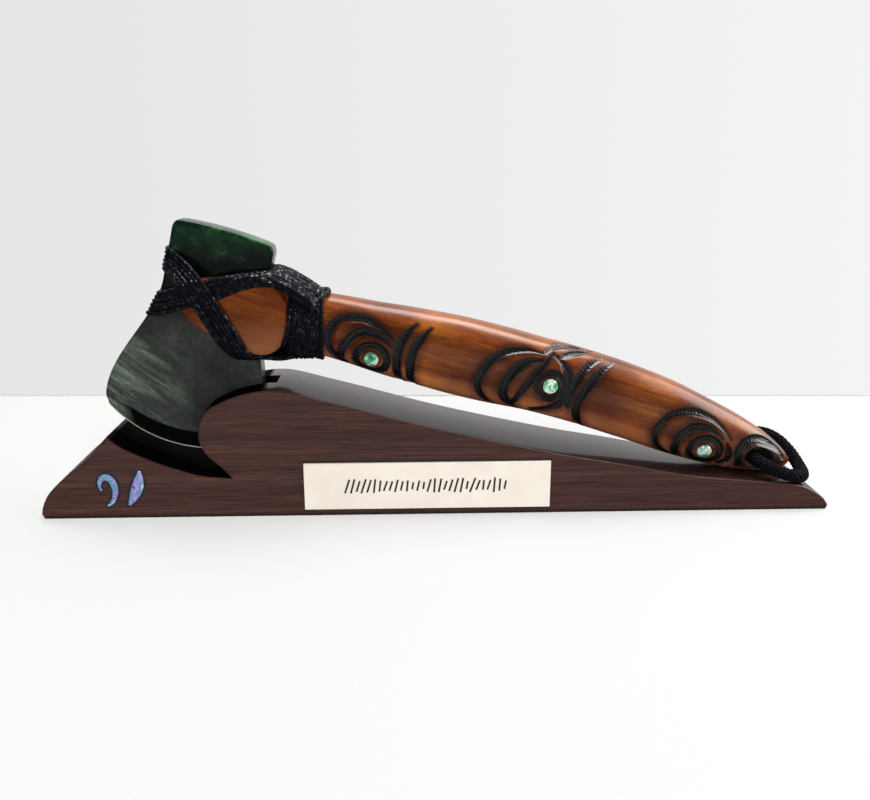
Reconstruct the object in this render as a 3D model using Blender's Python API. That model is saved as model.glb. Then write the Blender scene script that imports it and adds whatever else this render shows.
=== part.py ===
"""A hafted greenstone axe lying in its wooden display stand.

The stand's underside is at Z = 0 and its middle is over the origin. X runs along the stand
from the blade to the butt, Y runs from the front face to the back, and Z points up.
The axe is drawn in a plan of its own: X from the fork's open end to the butt, Z up from the
middle of the fork, in units of one millimetre for a haft of its usual length.
Everything in the stand that receives the axe is worked out from the axe.
"""
import math

import bmesh
import bpy
import numpy as np
from mathutils import Vector

MM = 0.001

# Fits
FIT_GAP = 0.3 * MM            # between two pieces that touch
CORD_CLEARANCE = 0.4 * MM     # between the wrist cord and its hole

# Haft
HAFT_LENGTH = 296.4 * MM      # from the fork's open end to the butt
HAFT_HEIGHT = 39.5 * MM       # tallest section of the grip
HAFT_DEPTH = 29.6 * MM        # thickest section of the grip
HAFT_SQUARENESS = 2.3         # 2 is an ellipse, more is squarer
GRIP_SIDES = 20               # facets round the grip
CHEEK_THICKNESS = 8.0 * MM    # wood on each side of the stone
CHEEK_ROUNDING = 2.0 * MM     # rounded rim of the cheeks

# Greenstone head
HEAD_LENGTH = 108.0 * MM      # from the poll to the middle of the cutting edge
HEAD_THICKNESS = 14.0 * MM
POLL_WIDTH = 47.4 * MM
POLL_SLANT = 1.0 * MM         # the poll stands this much higher in front
TOE_FLARE = 17.6 * MM         # how far the blade spreads away from the haft
HEEL_FLARE = 12.8 * MM        # how far it spreads towards the haft
EDGE_CURVE = 12.5 * MM        # bow of the cutting edge
EDGE_FLAT = 1.6 * MM          # thickness left at the cutting edge
BEVEL_RUN = 7.5 * MM          # height of the cutting bevel
STONE_CHAMFER = 1.2 * MM      # eased corners of the sides
HEAD_LEAN = math.radians(13.8)
HEAD_STATIONS = (0.074, 0.185, 0.296, 0.407, 0.519, 0.63, 0.741)   # shares of the length

# Carving and shell eyes
GROOVE_DEPTH = 1.2 * MM
DISC_RADIUS = 3.7 * MM
DISC_THICKNESS = 1.5 * MM
DISC_SINK = 0.2 * MM          # the disc's face lies this far under the wood

# Cords
CORD_DIAMETER = 6.0 * MM      # braided wrist cord
CORD_RING_STEP = 3.45 * MM    # between the rings of its mesh
LASHING_THICKNESS = 1.7 * MM  # one layer of waxed lashing cord
LASHING_TURNS = 9             # turns of the binding round the neck
TURN_SINK = 0.4 * MM          # how far a turn presses into those under it

# Stand
STAND_THICKNESS = 45.0 * MM
STAND_CHAMFER = 0.8 * MM
HORN_RUN = 33.9 * MM          # from the stand's left end to the tip of its horn
TAIL_HEIGHT = 15.0 * MM       # stand's height under the butt
TAIL_OVERHANG = 12.4 * MM     # stand beyond the butt
SEAT_DEPTH = 0.2 * MM         # how far the butt lies in the stand
FINGER_GAP = 16.6 * MM        # between haft and stand beside the neck
HUMP_GAP = 14.6 * MM          # between the fork and the stand's hump
SLOT_RUNOUT = 6.5 * MM        # slot in the hump beyond the blade
SLOT_FLOOR = 14.0 * MM        # stand left under the end of the slot

# Name plate and inlays on the stand's front
PLATE_LENGTH = 117.5 * MM
PLATE_HEIGHT = 23.2 * MM
PLATE_THICKNESS = 1.2 * MM
PLATE_SETBACK = 125.0 * MM    # from the stand's left end
INLAY_THICKNESS = 1.2 * MM
INLAY_HEIGHT = 18.0 * MM
INLAY_BASE = 6.2 * MM         # under the inlays
CURL_SETBACK = 31.0 * MM      # middle of the curl from the stand's left end
LEAF_SETBACK = 44.6 * MM

# Haft sections: plan X, plan Z of the middle, share of the height, share of the depth
HAFT_SECTIONS = (
    (47.1, -0.5, 0.72, 0.81), (67.1, -4.8, 0.785, 0.85), (90.6, -10.9, 0.88, 0.96),
    (129.1, -20.2, 1.0, 1.0), (169.1, -30.1, 0.965, 1.0), (210.1, -43.0, 0.98, 0.965),
    (239.1, -53.9, 0.93, 0.92), (259.1, -61.5, 0.79, 0.85), (274.1, -66.7, 0.62, 0.745),
    (285.1, -70.8, 0.43, 0.58), (293.1, -74.2, 0.215, 0.35), (296.4, -75.3, 0.05, 0.08))
NECK_START = 47.1
BINDING_START = 49.9
BINDING_END = 66.0
SEAT_X = 269.0                # plan X where the butt rests
CROTCH = (34.7, -1.7)         # plan point of the fork's crotch, where the stone's back sits
CROTCH_SHARE = 1 / 3          # how far along the head that point is
FORK_TOP = 20.3
FORK_BOTTOM = -16.4
FORK_NOSE_X = 34.6            # middle of the fork's rounded end
FORK_NOSE_RUN = 14.2

# Shell eyes: plan X and degrees up from the haft's side line
EYES = {"first": (86.3, -30.5), "middle": (171.5, -3.0), "last": (249.1, -28.5)}
CORD_HOLE = (275.0, -70.6)    # plan point
EYE_RING_RADIUS = 7.8 * MM
EYE_RING_WIDTH = 3.6 * MM
EYE_RING_SHARES = {"first": 1.0, "middle": 0.87, "last": 1.0}
DISH_LENGTH = 15.0 * MM       # dish round the hole, along the haft
DISH_HEIGHT = 11.0 * MM
DISH_DEPTH = 1.2 * MM
DISH_SHIFT = 2.6 * MM         # its middle from the hole's, towards the butt

PLAIN_SIDE_WIDTH = 3.2        # the back repeats only strokes this wide, in millimetres

# Carved strokes: eye they belong to, width, shares of the width at the start and the end, then
# plan X from the eye and degrees up the side
STROKES = (
    ("first", 3.5, (0.9, 0.35), ((-12.6, -66), (-16.4, -50), (-19.8, -28), (-19.3, -2), (-15.1, 18),
                                 (-9.1, 30), (-2.1, 33), (4.4, 25), (9.5, 13), (12.7, 1))),
    ("first", 4.5, (0.8, 0.35), ((-14.6, -50), (-14.0, -32), (-11.8, -13), (-7.6, 2), (-1.9, 11),
                                 (4.3, 10), (10.2, 0))),
    ("first", 4.3, (0.3, 1.0), ((22.1, 40), (16.9, 21), (13.4, 0), (12.0, -20), (12.5, -49),
                                (14.0, -70))),
    ("first", 4.3, (0.3, 1.0), ((28.6, 37), (23.4, 16), (19.8, 0), (18.4, -21), (18.8, -54),
                                (20.2, -72))),
    ("middle", 3.7, (0.35, 0.9), ((-2.9, 40), (-10.6, 39), (-18.4, 31), (-24.6, 20), (-30.0, 6),
                                  (-34.0, -11), (-34.8, -31), (-28.4, -67))),
    ("middle", 4.6, (0.4, 1.0), ((-3.2, 29), (-10.4, 21), (-16.9, 6), (-21.3, -9), (-22.8, -31),
                                 (-18.0, -60))),
    ("middle", 3.2, (0.5, 0.8), ((1.4, 45), (-3.6, 20), (-9.7, -2), (-14.6, -25), (-18.3, -54))),
    ("middle", 4.0, (0.4, 0.6), ((2.9, 42), (6.5, 31), (8.9, 14), (8.4, -3), (5.2, -23), (-1.0, -43),
                                 (-8.0, -57))),
    ("middle", 2.4, (0.7, 0.3), ((-1.9, 45), (1.4, 58), (5.8, 70), (11.3, 79), (22.0, 84))),
    ("middle", 2.8, (0.5, 0.3), ((4.2, 38), (7.9, 50), (12.8, 62), (19.9, 74))),
    ("middle", 3.5, (0.35, 0.8), ((25.1, 64), (18.3, 39), (13.3, 15), (10.3, -3), (8.8, -26))),
    ("middle", 4.0, (0.35, 1.0), ((30.5, 62), (23.6, 32), (18.2, 9), (14.1, -9), (12.8, -31),
                                  (14.3, -52), (16.3, -70))),
    ("last", 3.3, (0.9, 0.35), ((-16.6, -72), (-23.0, -54), (-25.4, -20), (-20.7, 2), (-13.5, 18),
                                (-5.4, 29), (2.2, 30), (8.4, 20), (12.8, 5))),
    ("last", 4.2, (0.9, 0.35), ((-12.8, -66), (-14.8, -36), (-11.9, -9), (-5.4, 5), (2.2, 10),
                                (8.5, 2))),
    ("last", 3.0, (0.4, 0.8), ((10.8, -2), (12.2, -18), (11.6, -36), (8.0, -54))),
    ("last", 4.4, (0.9, 0.5), ((18.6, -50), (16.9, -17), (18.9, 4), (24.1, 23), (31.0, 37),
                               (37.5, 38), (41.6, 14))),
)

# Lashing bands, each laid as three flat turns: plan points of every turn on the front
BAND_TURN_WIDTH = 3.9         # in millimetres
BAND_TAPER = 0.5              # share of the width left where a turn closes behind the stone
BAND_UP = (
    ((-17.0, 4.9), (-12.5, 5.0), (0.5, 8.4), (17.0, 12.5), (36.5, 19.6), (50.0, 20.6)),
    ((-16.4, 8.0), (-11.6, 8.1), (0.5, 11.4), (15.0, 15.2), (36.0, 20.8), (48.0, 21.8)),
    ((-15.6, 11.0), (-10.8, 11.1), (0.5, 14.3), (18.0, 18.3), (35.5, 21.6), (47.0, 22.6)))
BAND_DOWN = (
    ((-13.0, 28.0), (-7.6, 26.4), (-1.0, 19.4), (5.3, 10.2), (15.0, -7.2), (19.8, -14.0),
     (27.0, -17.2), (40.0, -17.6)),
    ((-12.0, 31.2), (-6.6, 29.4), (1.8, 21.4), (8.6, 12.0), (18.4, -6.2), (23.2, -13.8),
     (30.0, -17.6), (44.0, -17.8)),
    ((-11.0, 34.6), (-5.6, 32.8), (4.6, 23.6), (11.7, 14.0), (21.8, -5.0), (26.6, -13.6),
     (33.4, -17.8), (44.0, -18.0), (56.0, -17.8)))
# Shoulder wrap: plan X, plan Z of its foot and crown, half depth in plan units
SHOULDER = ((41.4, 14.0, 22.3, 13.4), (46.5, 10.4, 22.1, 14.5), (53.5, 5.0, 18.6, 14.6),
            (59.0, 2.0, 15.0, 14.2), (65.0, -1.0, 11.6, 13.2))

# Stand outline from the lowest point of the blade, in millimetres
HORN_TIP = (-29.3, 12.7)
NOTCH_FLOOR = ((-24.3, 8.2), (-19.3, 5.4), (-12.9, 2.4), (-6.5, -0.4), (1.2, -3.2), (13.6, -6.9))
NOTCH_TIP = (27.6, -8.4)
# Hump's hook as shares of its height above the notch's tip
HUMP_HOOK = ((-0.107, 0.12), (-0.252, 0.257), (-0.325, 0.39), (-0.342, 0.48), (-0.309, 0.65),
             (-0.23, 0.777), (-0.057, 0.88), (0.14, 0.953))
# Left end as shares of HORN_RUN and of the horn's height
HORN_CURVE = ((0.0, 0.055), (0.02, 0.14), (0.11, 0.29), (0.36, 0.505), (0.66, 0.71))
# Finger gap: plan X and share of FINGER_GAP
GAP_SHARES = ((67.0, 1.0), (119.0, 0.83), (176.0, 0.75), (205.0, 0.49), (242.0, 0.15),
              (257.0, 0.03))
# Tail's end: millimetres back from the stand's end, share of the tail's height
TAIL_CURVE = ((17.0, 0.85), (9.0, 0.67), (3.2, 0.42), (0.2, 0.16))

# Route of the wrist cord, from inside its hole round the butt and back, in millimetres
CORD_ROUTE = (
    (155.9, -1.0, 22.7), (155.9, -7.0, 22.7), (156.4, -12.8, 22.3), (159.4, -16.3, 20.9),
    (163.8, -18.3, 18.9), (168.6, -19.5, 17.2), (173.8, -19.0, 16.1), (179.0, -15.3, 14.7),
    (182.8, -8.4, 14.7), (184.0, -1.0, 16.2), (183.4, 5.2, 18.6), (181.7, 10.4, 21.2),
    (178.6, 14.4, 23.8), (174.0, 16.9, 25.9), (168.8, 18.0, 27.0), (163.4, 17.9, 26.8),
    (158.8, 16.2, 25.2), (156.3, 12.8, 23.2), (155.9, 7.0, 22.7), (155.9, 1.0, 22.7))


def smooth_curve(points, count):
    """Points evenly spaced along a smooth curve through the given ones."""
    pts = np.array(points, float)
    chord = np.linalg.norm(np.diff(pts, axis=0), axis=1)
    knots = np.concatenate(([0.0], np.cumsum(np.sqrt(chord))))
    slopes = np.gradient(pts, knots, axis=0)
    dense = []
    for i in range(len(pts) - 1):
        span = knots[i + 1] - knots[i]
        for t in np.linspace(0, 1, 24, endpoint=(i == len(pts) - 2)):
            h00, h10 = 2 * t**3 - 3 * t**2 + 1, t**3 - 2 * t**2 + t
            h01, h11 = -2 * t**3 + 3 * t**2, t**3 - t**2
            dense.append(h00 * pts[i] + h10 * span * slopes[i]
                         + h01 * pts[i + 1] + h11 * span * slopes[i + 1])
    dense = np.array(dense)
    run = np.concatenate(([0.0], np.cumsum(np.linalg.norm(np.diff(dense, axis=0), axis=1))))
    marks = np.linspace(0, run[-1], count)
    return np.column_stack([np.interp(marks, run, dense[:, k]) for k in range(pts.shape[1])])


def ease(t):
    """Smooth step from 0 to 1."""
    t = min(max(t, 0.0), 1.0)
    return t * t * (3 - 2 * t)


def outline_normals(outline):
    """Outward miter directions of a closed outline that runs anticlockwise."""
    edges = np.roll(outline, -1, axis=0) - outline
    edges /= np.linalg.norm(edges, axis=1)[:, None]
    out = np.column_stack((edges[:, 1], -edges[:, 0]))
    miter = out + np.roll(out, 1, axis=0)
    length = np.linalg.norm(miter, axis=1)
    miter /= length[:, None]
    return miter / np.maximum(length / 2, 0.6)[:, None]


def grown(outline, amount):
    """The outline moved outwards by an amount."""
    return outline + outline_normals(outline) * amount


# Haft: its sections in metres, from which the stand and the cords take their places
SECTION_TABLE = np.array(HAFT_SECTIONS)
BUTT_X = SECTION_TABLE[-1, 0]
UNIT = HAFT_LENGTH / BUTT_X


def plan_section(x):
    """Middle height, half height and half depth of the haft at plan X, in metres."""
    table = SECTION_TABLE
    slopes = np.gradient(table[:, 1:], table[:, 0], axis=0)
    i = int(np.clip(np.searchsorted(table[:, 0], x) - 1, 0, len(table) - 2))
    span = table[i + 1, 0] - table[i, 0]
    t = min(max((x - table[i, 0]) / span, 0.0), 1.0)
    h00, h10 = 2 * t**3 - 3 * t**2 + 1, t**3 - 2 * t**2 + t
    h01, h11 = -2 * t**3 + 3 * t**2, t**3 - t**2
    row = (h00 * table[i, 1:] + h10 * span * slopes[i]
           + h01 * table[i + 1, 1:] + h11 * span * slopes[i + 1])
    return row[0] * UNIT, row[1] * HAFT_HEIGHT / 2, row[2] * HAFT_DEPTH / 2


def haft_underside(x):
    middle, half_height, _ = plan_section(x)
    return middle - half_height


AXE_Z = TAIL_HEIGHT - SEAT_DEPTH - haft_underside(SEAT_X)


def head_vector(along, across):
    """A step along the head, poll to edge, and across it towards the haft."""
    return (-math.sin(HEAD_LEAN) * along + math.cos(HEAD_LEAN) * across,
            -math.cos(HEAD_LEAN) * along - math.sin(HEAD_LEAN) * across)


def head_outline(grow=0.0):
    """Outline of the head from the fork's plan origin, and where it is cutting edge."""
    half = POLL_WIDTH / 2
    heel, toe = half + HEEL_FLARE, -half - TOE_FLARE
    rows = [(share * HEAD_LENGTH, half + HEEL_FLARE * ease((share - 0.296) / 0.583), False)
            for share in HEAD_STATIONS]
    rows.append((0.824 * HEAD_LENGTH, heel, True))
    corner = 1.5 * MM
    span = (heel - toe) / 2 - corner
    bow_radius = (span**2 + EDGE_CURVE**2) / (2 * EDGE_CURVE)
    for across in np.linspace(heel - corner, toe + corner, 15):
        offset = across - (heel + toe) / 2
        bow = math.sqrt(bow_radius**2 - offset**2) - (bow_radius - EDGE_CURVE)
        rows.append((HEAD_LENGTH - EDGE_CURVE - corner + bow, across, True))
    rows.append((0.824 * HEAD_LENGTH, toe, True))
    rows += [(share * HEAD_LENGTH, -half - TOE_FLARE * ease((share - 0.241) / 0.537), False)
             for share in HEAD_STATIONS[::-1]]
    for s in (-1.0, -0.97, -0.9, -0.6, -0.2, 0.2, 0.6, 0.9, 0.97, 1.0):
        crown = (4.0 * abs(s) ** 18 - 1.5 * (1 - s * s) - 0.8) * MM
        rows.append((crown + POLL_SLANT * s, s * half, False))
    seat = np.array(CROTCH) * UNIT - np.array((FIT_GAP, 0.0))
    points = []
    for along, across, _ in rows:
        dx, dz = head_vector(along - HEAD_LENGTH * CROTCH_SHARE, across - half)
        points.append((seat[0] + dx, seat[1] + dz))
    points = np.array(points)[::-1]
    is_edge = [edge for _, _, edge in rows[::-1]]
    return grown(points, grow) if grow else points, is_edge


HEAD_PROFILE, HEAD_EDGE = head_outline()
LOWEST = HEAD_PROFILE[np.argmin(HEAD_PROFILE[:, 1])]
EDGE_MIDDLE = np.array(CROTCH) * UNIT + np.array(head_vector(
    HEAD_LENGTH * (1 - CROTCH_SHARE), (HEEL_FLARE - TOE_FLARE) / 2 - POLL_WIDTH / 2))
HORN_X = EDGE_MIDDLE[0] + HORN_TIP[0] * MM
STAND_LENGTH = HAFT_LENGTH + TAIL_OVERHANG - (HORN_X - HORN_RUN)
AXE_X = STAND_LENGTH / 2 - TAIL_OVERHANG - HAFT_LENGTH
STAND_FRONT = -STAND_THICKNESS / 2


def from_plan(x, z):
    """World X and Z of a plan point."""
    return AXE_X + x * UNIT, AXE_Z + z * UNIT


def haft_point(x, degrees, side=-1):
    """Point on the haft's surface: plan X, degrees up from the side line, front or back."""
    middle, half_height, half_depth = plan_section(x)
    power = 2 / HAFT_SQUARENESS
    s, c = math.sin(math.radians(degrees)), math.cos(math.radians(degrees))
    z = middle + half_height * math.copysign(abs(s) ** power, s)
    return Vector((AXE_X + x * UNIT, side * half_depth * abs(c) ** power, AXE_Z + z))


def haft_normal(x, degrees, side=-1):
    along = haft_point(x + 0.5, degrees, side) - haft_point(x - 0.5, degrees, side)
    around = haft_point(x, degrees + 2, side) - haft_point(x, degrees - 2, side)
    normal = along.cross(around).normalized()
    return -normal if normal.y * side < 0 else normal


# Blender helpers
def clear_scene():
    for thing in list(bpy.data.objects):
        bpy.data.objects.remove(thing, do_unlink=True)


def make_material(name, colour, roughness, metallic=0.0):
    material = bpy.data.materials.new(name)
    material.use_nodes = True
    shader = material.node_tree.nodes["Principled BSDF"]
    shader.inputs["Base Color"].default_value = (*colour, 1.0)
    shader.inputs["Roughness"].default_value = roughness
    shader.inputs["Metallic"].default_value = metallic
    return material


def add_mesh(name, verts, faces, material=None, smooth_angle=35):
    mesh = bpy.data.meshes.new(name)
    mesh.from_pydata([tuple(v) for v in verts], [], faces)
    mesh.validate()
    working = bmesh.new()
    working.from_mesh(mesh)
    bmesh.ops.recalc_face_normals(working, faces=working.faces)
    working.to_mesh(mesh)
    working.free()
    mesh.shade_smooth()
    mesh.set_sharp_from_angle(angle=math.radians(smooth_angle))
    thing = bpy.data.objects.new(name, mesh)
    bpy.context.scene.collection.objects.link(thing)
    if material:
        mesh.materials.append(material)
    return thing


def hide_cutter(thing):
    thing.hide_render = True
    thing.display_type = "WIRE"
    return thing


def ring_faces(rings, size, closed=False):
    """Quads between rings of equal size, capped at both ends unless the rings close."""
    faces = []
    last = rings if closed else rings - 1
    for r in range(last):
        a, b = r * size, (r + 1) % rings * size
        faces += [(a + i, a + (i + 1) % size, b + (i + 1) % size, b + i) for i in range(size)]
    if not closed:
        faces.append(tuple(range(size))[::-1])
        faces.append(tuple((rings - 1) * size + i for i in range(size)))
    return faces


def prism(name, outline, low_y, high_y, chamfer=0.0, material=None):
    """An outline in X and Z carried through Y, with its rims chamfered."""
    outline = np.array(outline)
    inner = grown(outline, -chamfer) if chamfer else outline
    levels = [(low_y, inner), (high_y, inner)]
    if chamfer:
        levels = [(low_y, inner), (low_y + chamfer, outline),
                  (high_y - chamfer, outline), (high_y, inner)]
    verts = [(x, y, z) for y, ring in levels for x, z in ring]
    return add_mesh(name, verts, ring_faces(len(levels), len(outline)), material)


def use_collection(name, things):
    collection = bpy.data.collections.new(name)
    bpy.context.scene.collection.children.link(collection)
    for thing in things:
        for old in list(thing.users_collection):
            old.objects.unlink(thing)
        collection.objects.link(hide_cutter(thing))
    return collection


def combine(thing, others, operation, name):
    """A live Boolean of one object with a collection of others."""
    modifier = thing.modifiers.new(name, "BOOLEAN")
    modifier.operation = operation
    modifier.operand_type = "COLLECTION"
    modifier.collection = use_collection(name, others)
    modifier.solver = "EXACT"
    return modifier


# Stand
def stand_outline():
    left = -STAND_LENGTH / 2
    edge_x, edge_z = AXE_X + EDGE_MIDDLE[0], AXE_Z + EDGE_MIDDLE[1]
    horn = (edge_x + HORN_TIP[0] * MM, edge_z + HORN_TIP[1] * MM)
    tip = (edge_x + NOTCH_TIP[0] * MM, edge_z + NOTCH_TIP[1] * MM)
    floor = [(edge_x + x * MM, edge_z + z * MM) for x, z in NOTCH_FLOOR]
    rise = [(left + u * HORN_RUN, v * horn[1]) for u, v in HORN_CURVE]
    hump_z = from_plan(0, FORK_BOTTOM)[1] - HUMP_GAP
    hump = hump_z - tip[1]
    hook = [(tip[0] + u * hump, tip[1] + v * hump) for u, v in HUMP_HOOK]
    crest = (slot_end(hump_z), hump_z)
    slope = [(AXE_X + x * UNIT, AXE_Z + haft_underside(x) - share * FINGER_GAP)
             for x, share in GAP_SHARES]
    seat = (AXE_X + SEAT_X * UNIT, TAIL_HEIGHT)
    right = STAND_LENGTH / 2
    end = [(right - back * MM, share * TAIL_HEIGHT) for back, share in TAIL_CURVE]
    long_run = smooth_curve([tip] + hook + [crest] + slope + [seat] + end, 64)
    corner = 1.2 * MM
    run = [(left + corner, 0.0), (right - corner, 0.0), (right - 0.3 * MM, corner)]
    run += list(long_run[::-1])
    run += list(smooth_curve([tip] + floor[::-1] + [horn], 14)[1:])
    run += list(smooth_curve([horn] + rise[::-1], 14)[1:])
    return np.array(run)


def slot_end(hump_z):
    """X where the slot in the hump ends, a little beyond the blade."""
    low = HEAD_PROFILE[HEAD_PROFILE[:, 1] + AXE_Z < hump_z]
    return AXE_X + low[:, 0].max() + SLOT_RUNOUT


def make_stand(material):
    outline = stand_outline()
    stand = prism("stand", outline, STAND_FRONT, -STAND_FRONT, STAND_CHAMFER, material)
    blade, _ = head_outline(FIT_GAP)
    half = HEAD_THICKNESS / 2 + FIT_GAP
    blade_slot = prism("blade_slot", blade + (AXE_X, AXE_Z), -half, half)
    hump_z = from_plan(0, FORK_BOTTOM)[1] - HUMP_GAP
    heel_x = AXE_X + EDGE_MIDDLE[0] + HEEL_FLARE
    end = slot_end(hump_z)
    above = hump_z + 5 * MM
    floor = AXE_Z + EDGE_MIDDLE[1] + 2 * MM
    floor = max(floor, SLOT_FLOOR)
    runout = [(heel_x, floor), (end - 3 * MM, floor), (end, floor + 3 * MM), (end, above),
              (heel_x, above)]
    slot_rest = prism("slot_runout", runout, -half, half)
    seat = haft_body("haft_seat", FIT_GAP)
    combine(stand, [blade_slot, slot_rest, seat], "DIFFERENCE", "stand_cuts")
    return stand


# Greenstone head
def make_head(material):
    outline = HEAD_PROFILE + (AXE_X, AXE_Z)
    normals = outline_normals(outline)
    up = np.array(head_vector(-1.0, 0.0))
    half = HEAD_THICKNESS / 2
    face, rim, rim_y = [], [], []
    for point, normal, edge in zip(outline, normals, HEAD_EDGE):
        lift = up * BEVEL_RUN if edge else 0
        face.append(point - normal * STONE_CHAMFER * (0.4 if edge else 1) + lift)
        rim.append(point)
        rim_y.append(EDGE_FLAT / 2 if edge else half - STONE_CHAMFER)
    verts = [(p[0], -half, p[1]) for p in face]
    verts += [(p[0], -y, p[1]) for p, y in zip(rim, rim_y)]
    verts += [(p[0], y, p[1]) for p, y in zip(rim, rim_y)]
    verts += [(p[0], half, p[1]) for p in face]
    return add_mesh("axe_head", verts, ring_faces(4, len(outline)), material, 25)


# Haft
def haft_ring(x, grow=0.0, beyond=0.0):
    """Points round the haft at plan X."""
    middle, half_height, half_depth = plan_section(x)
    power = 2 / HAFT_SQUARENESS
    ring = []
    for k in range(GRIP_SIDES):
        angle = 2 * math.pi * (k + 0.5) / GRIP_SIDES
        s, c = math.sin(angle), math.cos(angle)
        y = (half_depth + grow) * math.copysign(abs(c) ** power, c)
        z = (half_height + grow) * math.copysign(abs(s) ** power, s)
        ring.append((AXE_X + x * UNIT + beyond, y, AXE_Z + middle + z))
    return ring


def haft_body(name, grow=0.0, material=None):
    """The neck, grip and butt, as rings of points along the haft."""
    sections = np.concatenate(((NECK_START, 55.0, 63.0), np.linspace(72, 256, 17),
                               np.linspace(264, 289, 5), (293.0, BUTT_X)))
    verts = []
    for x in sections:
        verts += haft_ring(x, grow, grow if x == BUTT_X else 0.0)
    return add_mesh(name, verts, ring_faces(len(sections), GRIP_SIDES), material)


def fork_outline():
    """Side view of the fork: flat top, slanting underside, rounded end at the neck."""
    half_top = FORK_TOP - 0.5
    half_bottom = 0.5 - FORK_BOTTOM
    nose = []
    for angle in np.linspace(-90, 90, 17):
        s, c = math.sin(math.radians(angle)), math.cos(math.radians(angle))
        reach = half_top if s > 0 else half_bottom
        nose.append((FORK_NOSE_X + FORK_NOSE_RUN * abs(c) ** 0.9, 0.5 + reach * s))
    points = nose + [(18.0, FORK_TOP - 0.4), (3.0, FORK_TOP - 2.0), (0.8, FORK_TOP - 3.6),
                     (0.0, FORK_TOP - 6.5), (0.0, 5.6), (0.8, 2.2), (3.0, -0.2), (26.0, -14.9)]
    return np.array([from_plan(x, z) for x, z in points])


def fork_half_depth():
    return HEAD_THICKNESS / 2 + FIT_GAP + CHEEK_THICKNESS


def stroke_cutter(name, points, width, side, ends=None):
    """A three-sided cutter along a stroke on the haft's surface, thinner at its ends."""
    closed = ends is None
    count = len(points)
    places = [haft_point(x, degrees, side) for x, degrees in points]
    verts = []
    lift = 0.7 * MM
    for i, (x, degrees) in enumerate(points):
        ahead = places[(i + 1) % count if closed else min(i + 1, count - 1)]
        behind = places[(i - 1) % count if closed else max(i - 1, 0)]
        normal = haft_normal(x, degrees, side)
        across = normal.cross(ahead - behind).normalized()
        share = i / (count - 1)
        size = 1.0
        if not closed and share < 0.3:
            size = ends[0] + (1 - ends[0]) * share / 0.3
        elif not closed and share > 0.6:
            size = ends[1] + (1 - ends[1]) * (1 - share) / 0.4
        reach = width / 2 * size * (GROOVE_DEPTH + lift) / GROOVE_DEPTH
        verts += [places[i] + across * reach + normal * lift,
                  places[i] - across * reach + normal * lift,
                  places[i] - normal * GROOVE_DEPTH * size]
    return add_mesh(name, verts, ring_faces(count, 3, closed))


def eye_ring(eye, radius, count=12):
    """Points of a circle on the surface round an eye: plan X and degrees up the side."""
    x, degrees = EYES[eye]
    centre = haft_point(x, degrees)
    ring = []
    for k in range(count):
        turn = 2 * math.pi * k / count
        place = x + radius / UNIT * math.cos(turn)
        low, high = 0.0, 80.0
        for _ in range(24):
            middle = math.copysign((low + high) / 2, math.sin(turn))
            if (haft_point(place, degrees + middle) - centre).length < radius:
                low = abs(middle)
            else:
                high = abs(middle)
        ring.append((place, degrees + math.copysign(low, math.sin(turn))))
    return ring


def eye_cylinder(name, eye, radius, low, high, material=None, sides=16):
    """A cylinder square to the haft's surface at an eye, from low to high above it."""
    x, degrees = EYES[eye]
    centre, normal = haft_point(x, degrees), haft_normal(x, degrees)
    across = normal.cross(Vector((1, 0, 0))).normalized()
    other = normal.cross(across)
    verts = []
    for level in (low, high):
        for k in range(sides):
            t = 2 * math.pi * k / sides
            verts.append(centre + normal * level + across * radius * math.cos(t)
                         + other * radius * math.sin(t))
    return add_mesh(name, verts, ring_faces(2, sides), material, 50)


def hole_dish(name, side):
    """A flat ellipsoid that cuts a shallow dish round the cord's hole."""
    x = CORD_HOLE[0] + DISH_SHIFT / UNIT
    middle, half_height, _ = plan_section(x)
    rise = (CORD_HOLE[1] * UNIT - middle) / half_height
    degrees = math.degrees(math.asin(math.copysign(abs(rise) ** (HAFT_SQUARENESS / 2), rise)))
    surface, normal = haft_point(x, degrees, side), haft_normal(x, degrees, side)
    thick = 3.3 * DISH_DEPTH
    widen = 1 / math.sqrt(1 - (1 - DISH_DEPTH / thick) ** 2)
    centre = surface + normal * (thick - DISH_DEPTH)
    along = (haft_point(x + 1, degrees, side) - haft_point(x - 1, degrees, side)).normalized()
    up = normal.cross(along)
    verts = []
    for level in np.radians(np.linspace(-80, 80, 7)):
        for turn in np.linspace(0, 2 * math.pi, 16, endpoint=False):
            wide = widen * math.cos(level) / 2
            verts.append(centre + along * DISH_LENGTH * wide * math.cos(turn)
                         + up * DISH_HEIGHT * wide * math.sin(turn)
                         + normal * thick * math.sin(level))
    return add_mesh(name, verts, ring_faces(7, 16))


def carving_cutters():
    cutters = []
    for side, face in ((-1, "front"), (1, "back")):
        for number, (eye, width, ends, stroke) in enumerate(STROKES):
            if face == "back" and width < PLAIN_SIDE_WIDTH:
                continue
            plan = [(EYES[eye][0] + x, degrees) for x, degrees in stroke]
            path = smooth_curve(plan, len(plan) + 3)
            name = f"stroke_{face}_{number}"
            cutters.append(stroke_cutter(name, path, width * MM, side, ends))
        for eye in EYES:
            share = EYE_RING_SHARES[eye]
            ring = eye_ring(eye, EYE_RING_RADIUS * share)
            name = f"eye_ring_{face}_{eye}"
            cutters.append(stroke_cutter(name, ring, EYE_RING_WIDTH * share, side))
        cutters.append(hole_dish(f"hole_dish_{face}", side))
    return cutters


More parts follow.
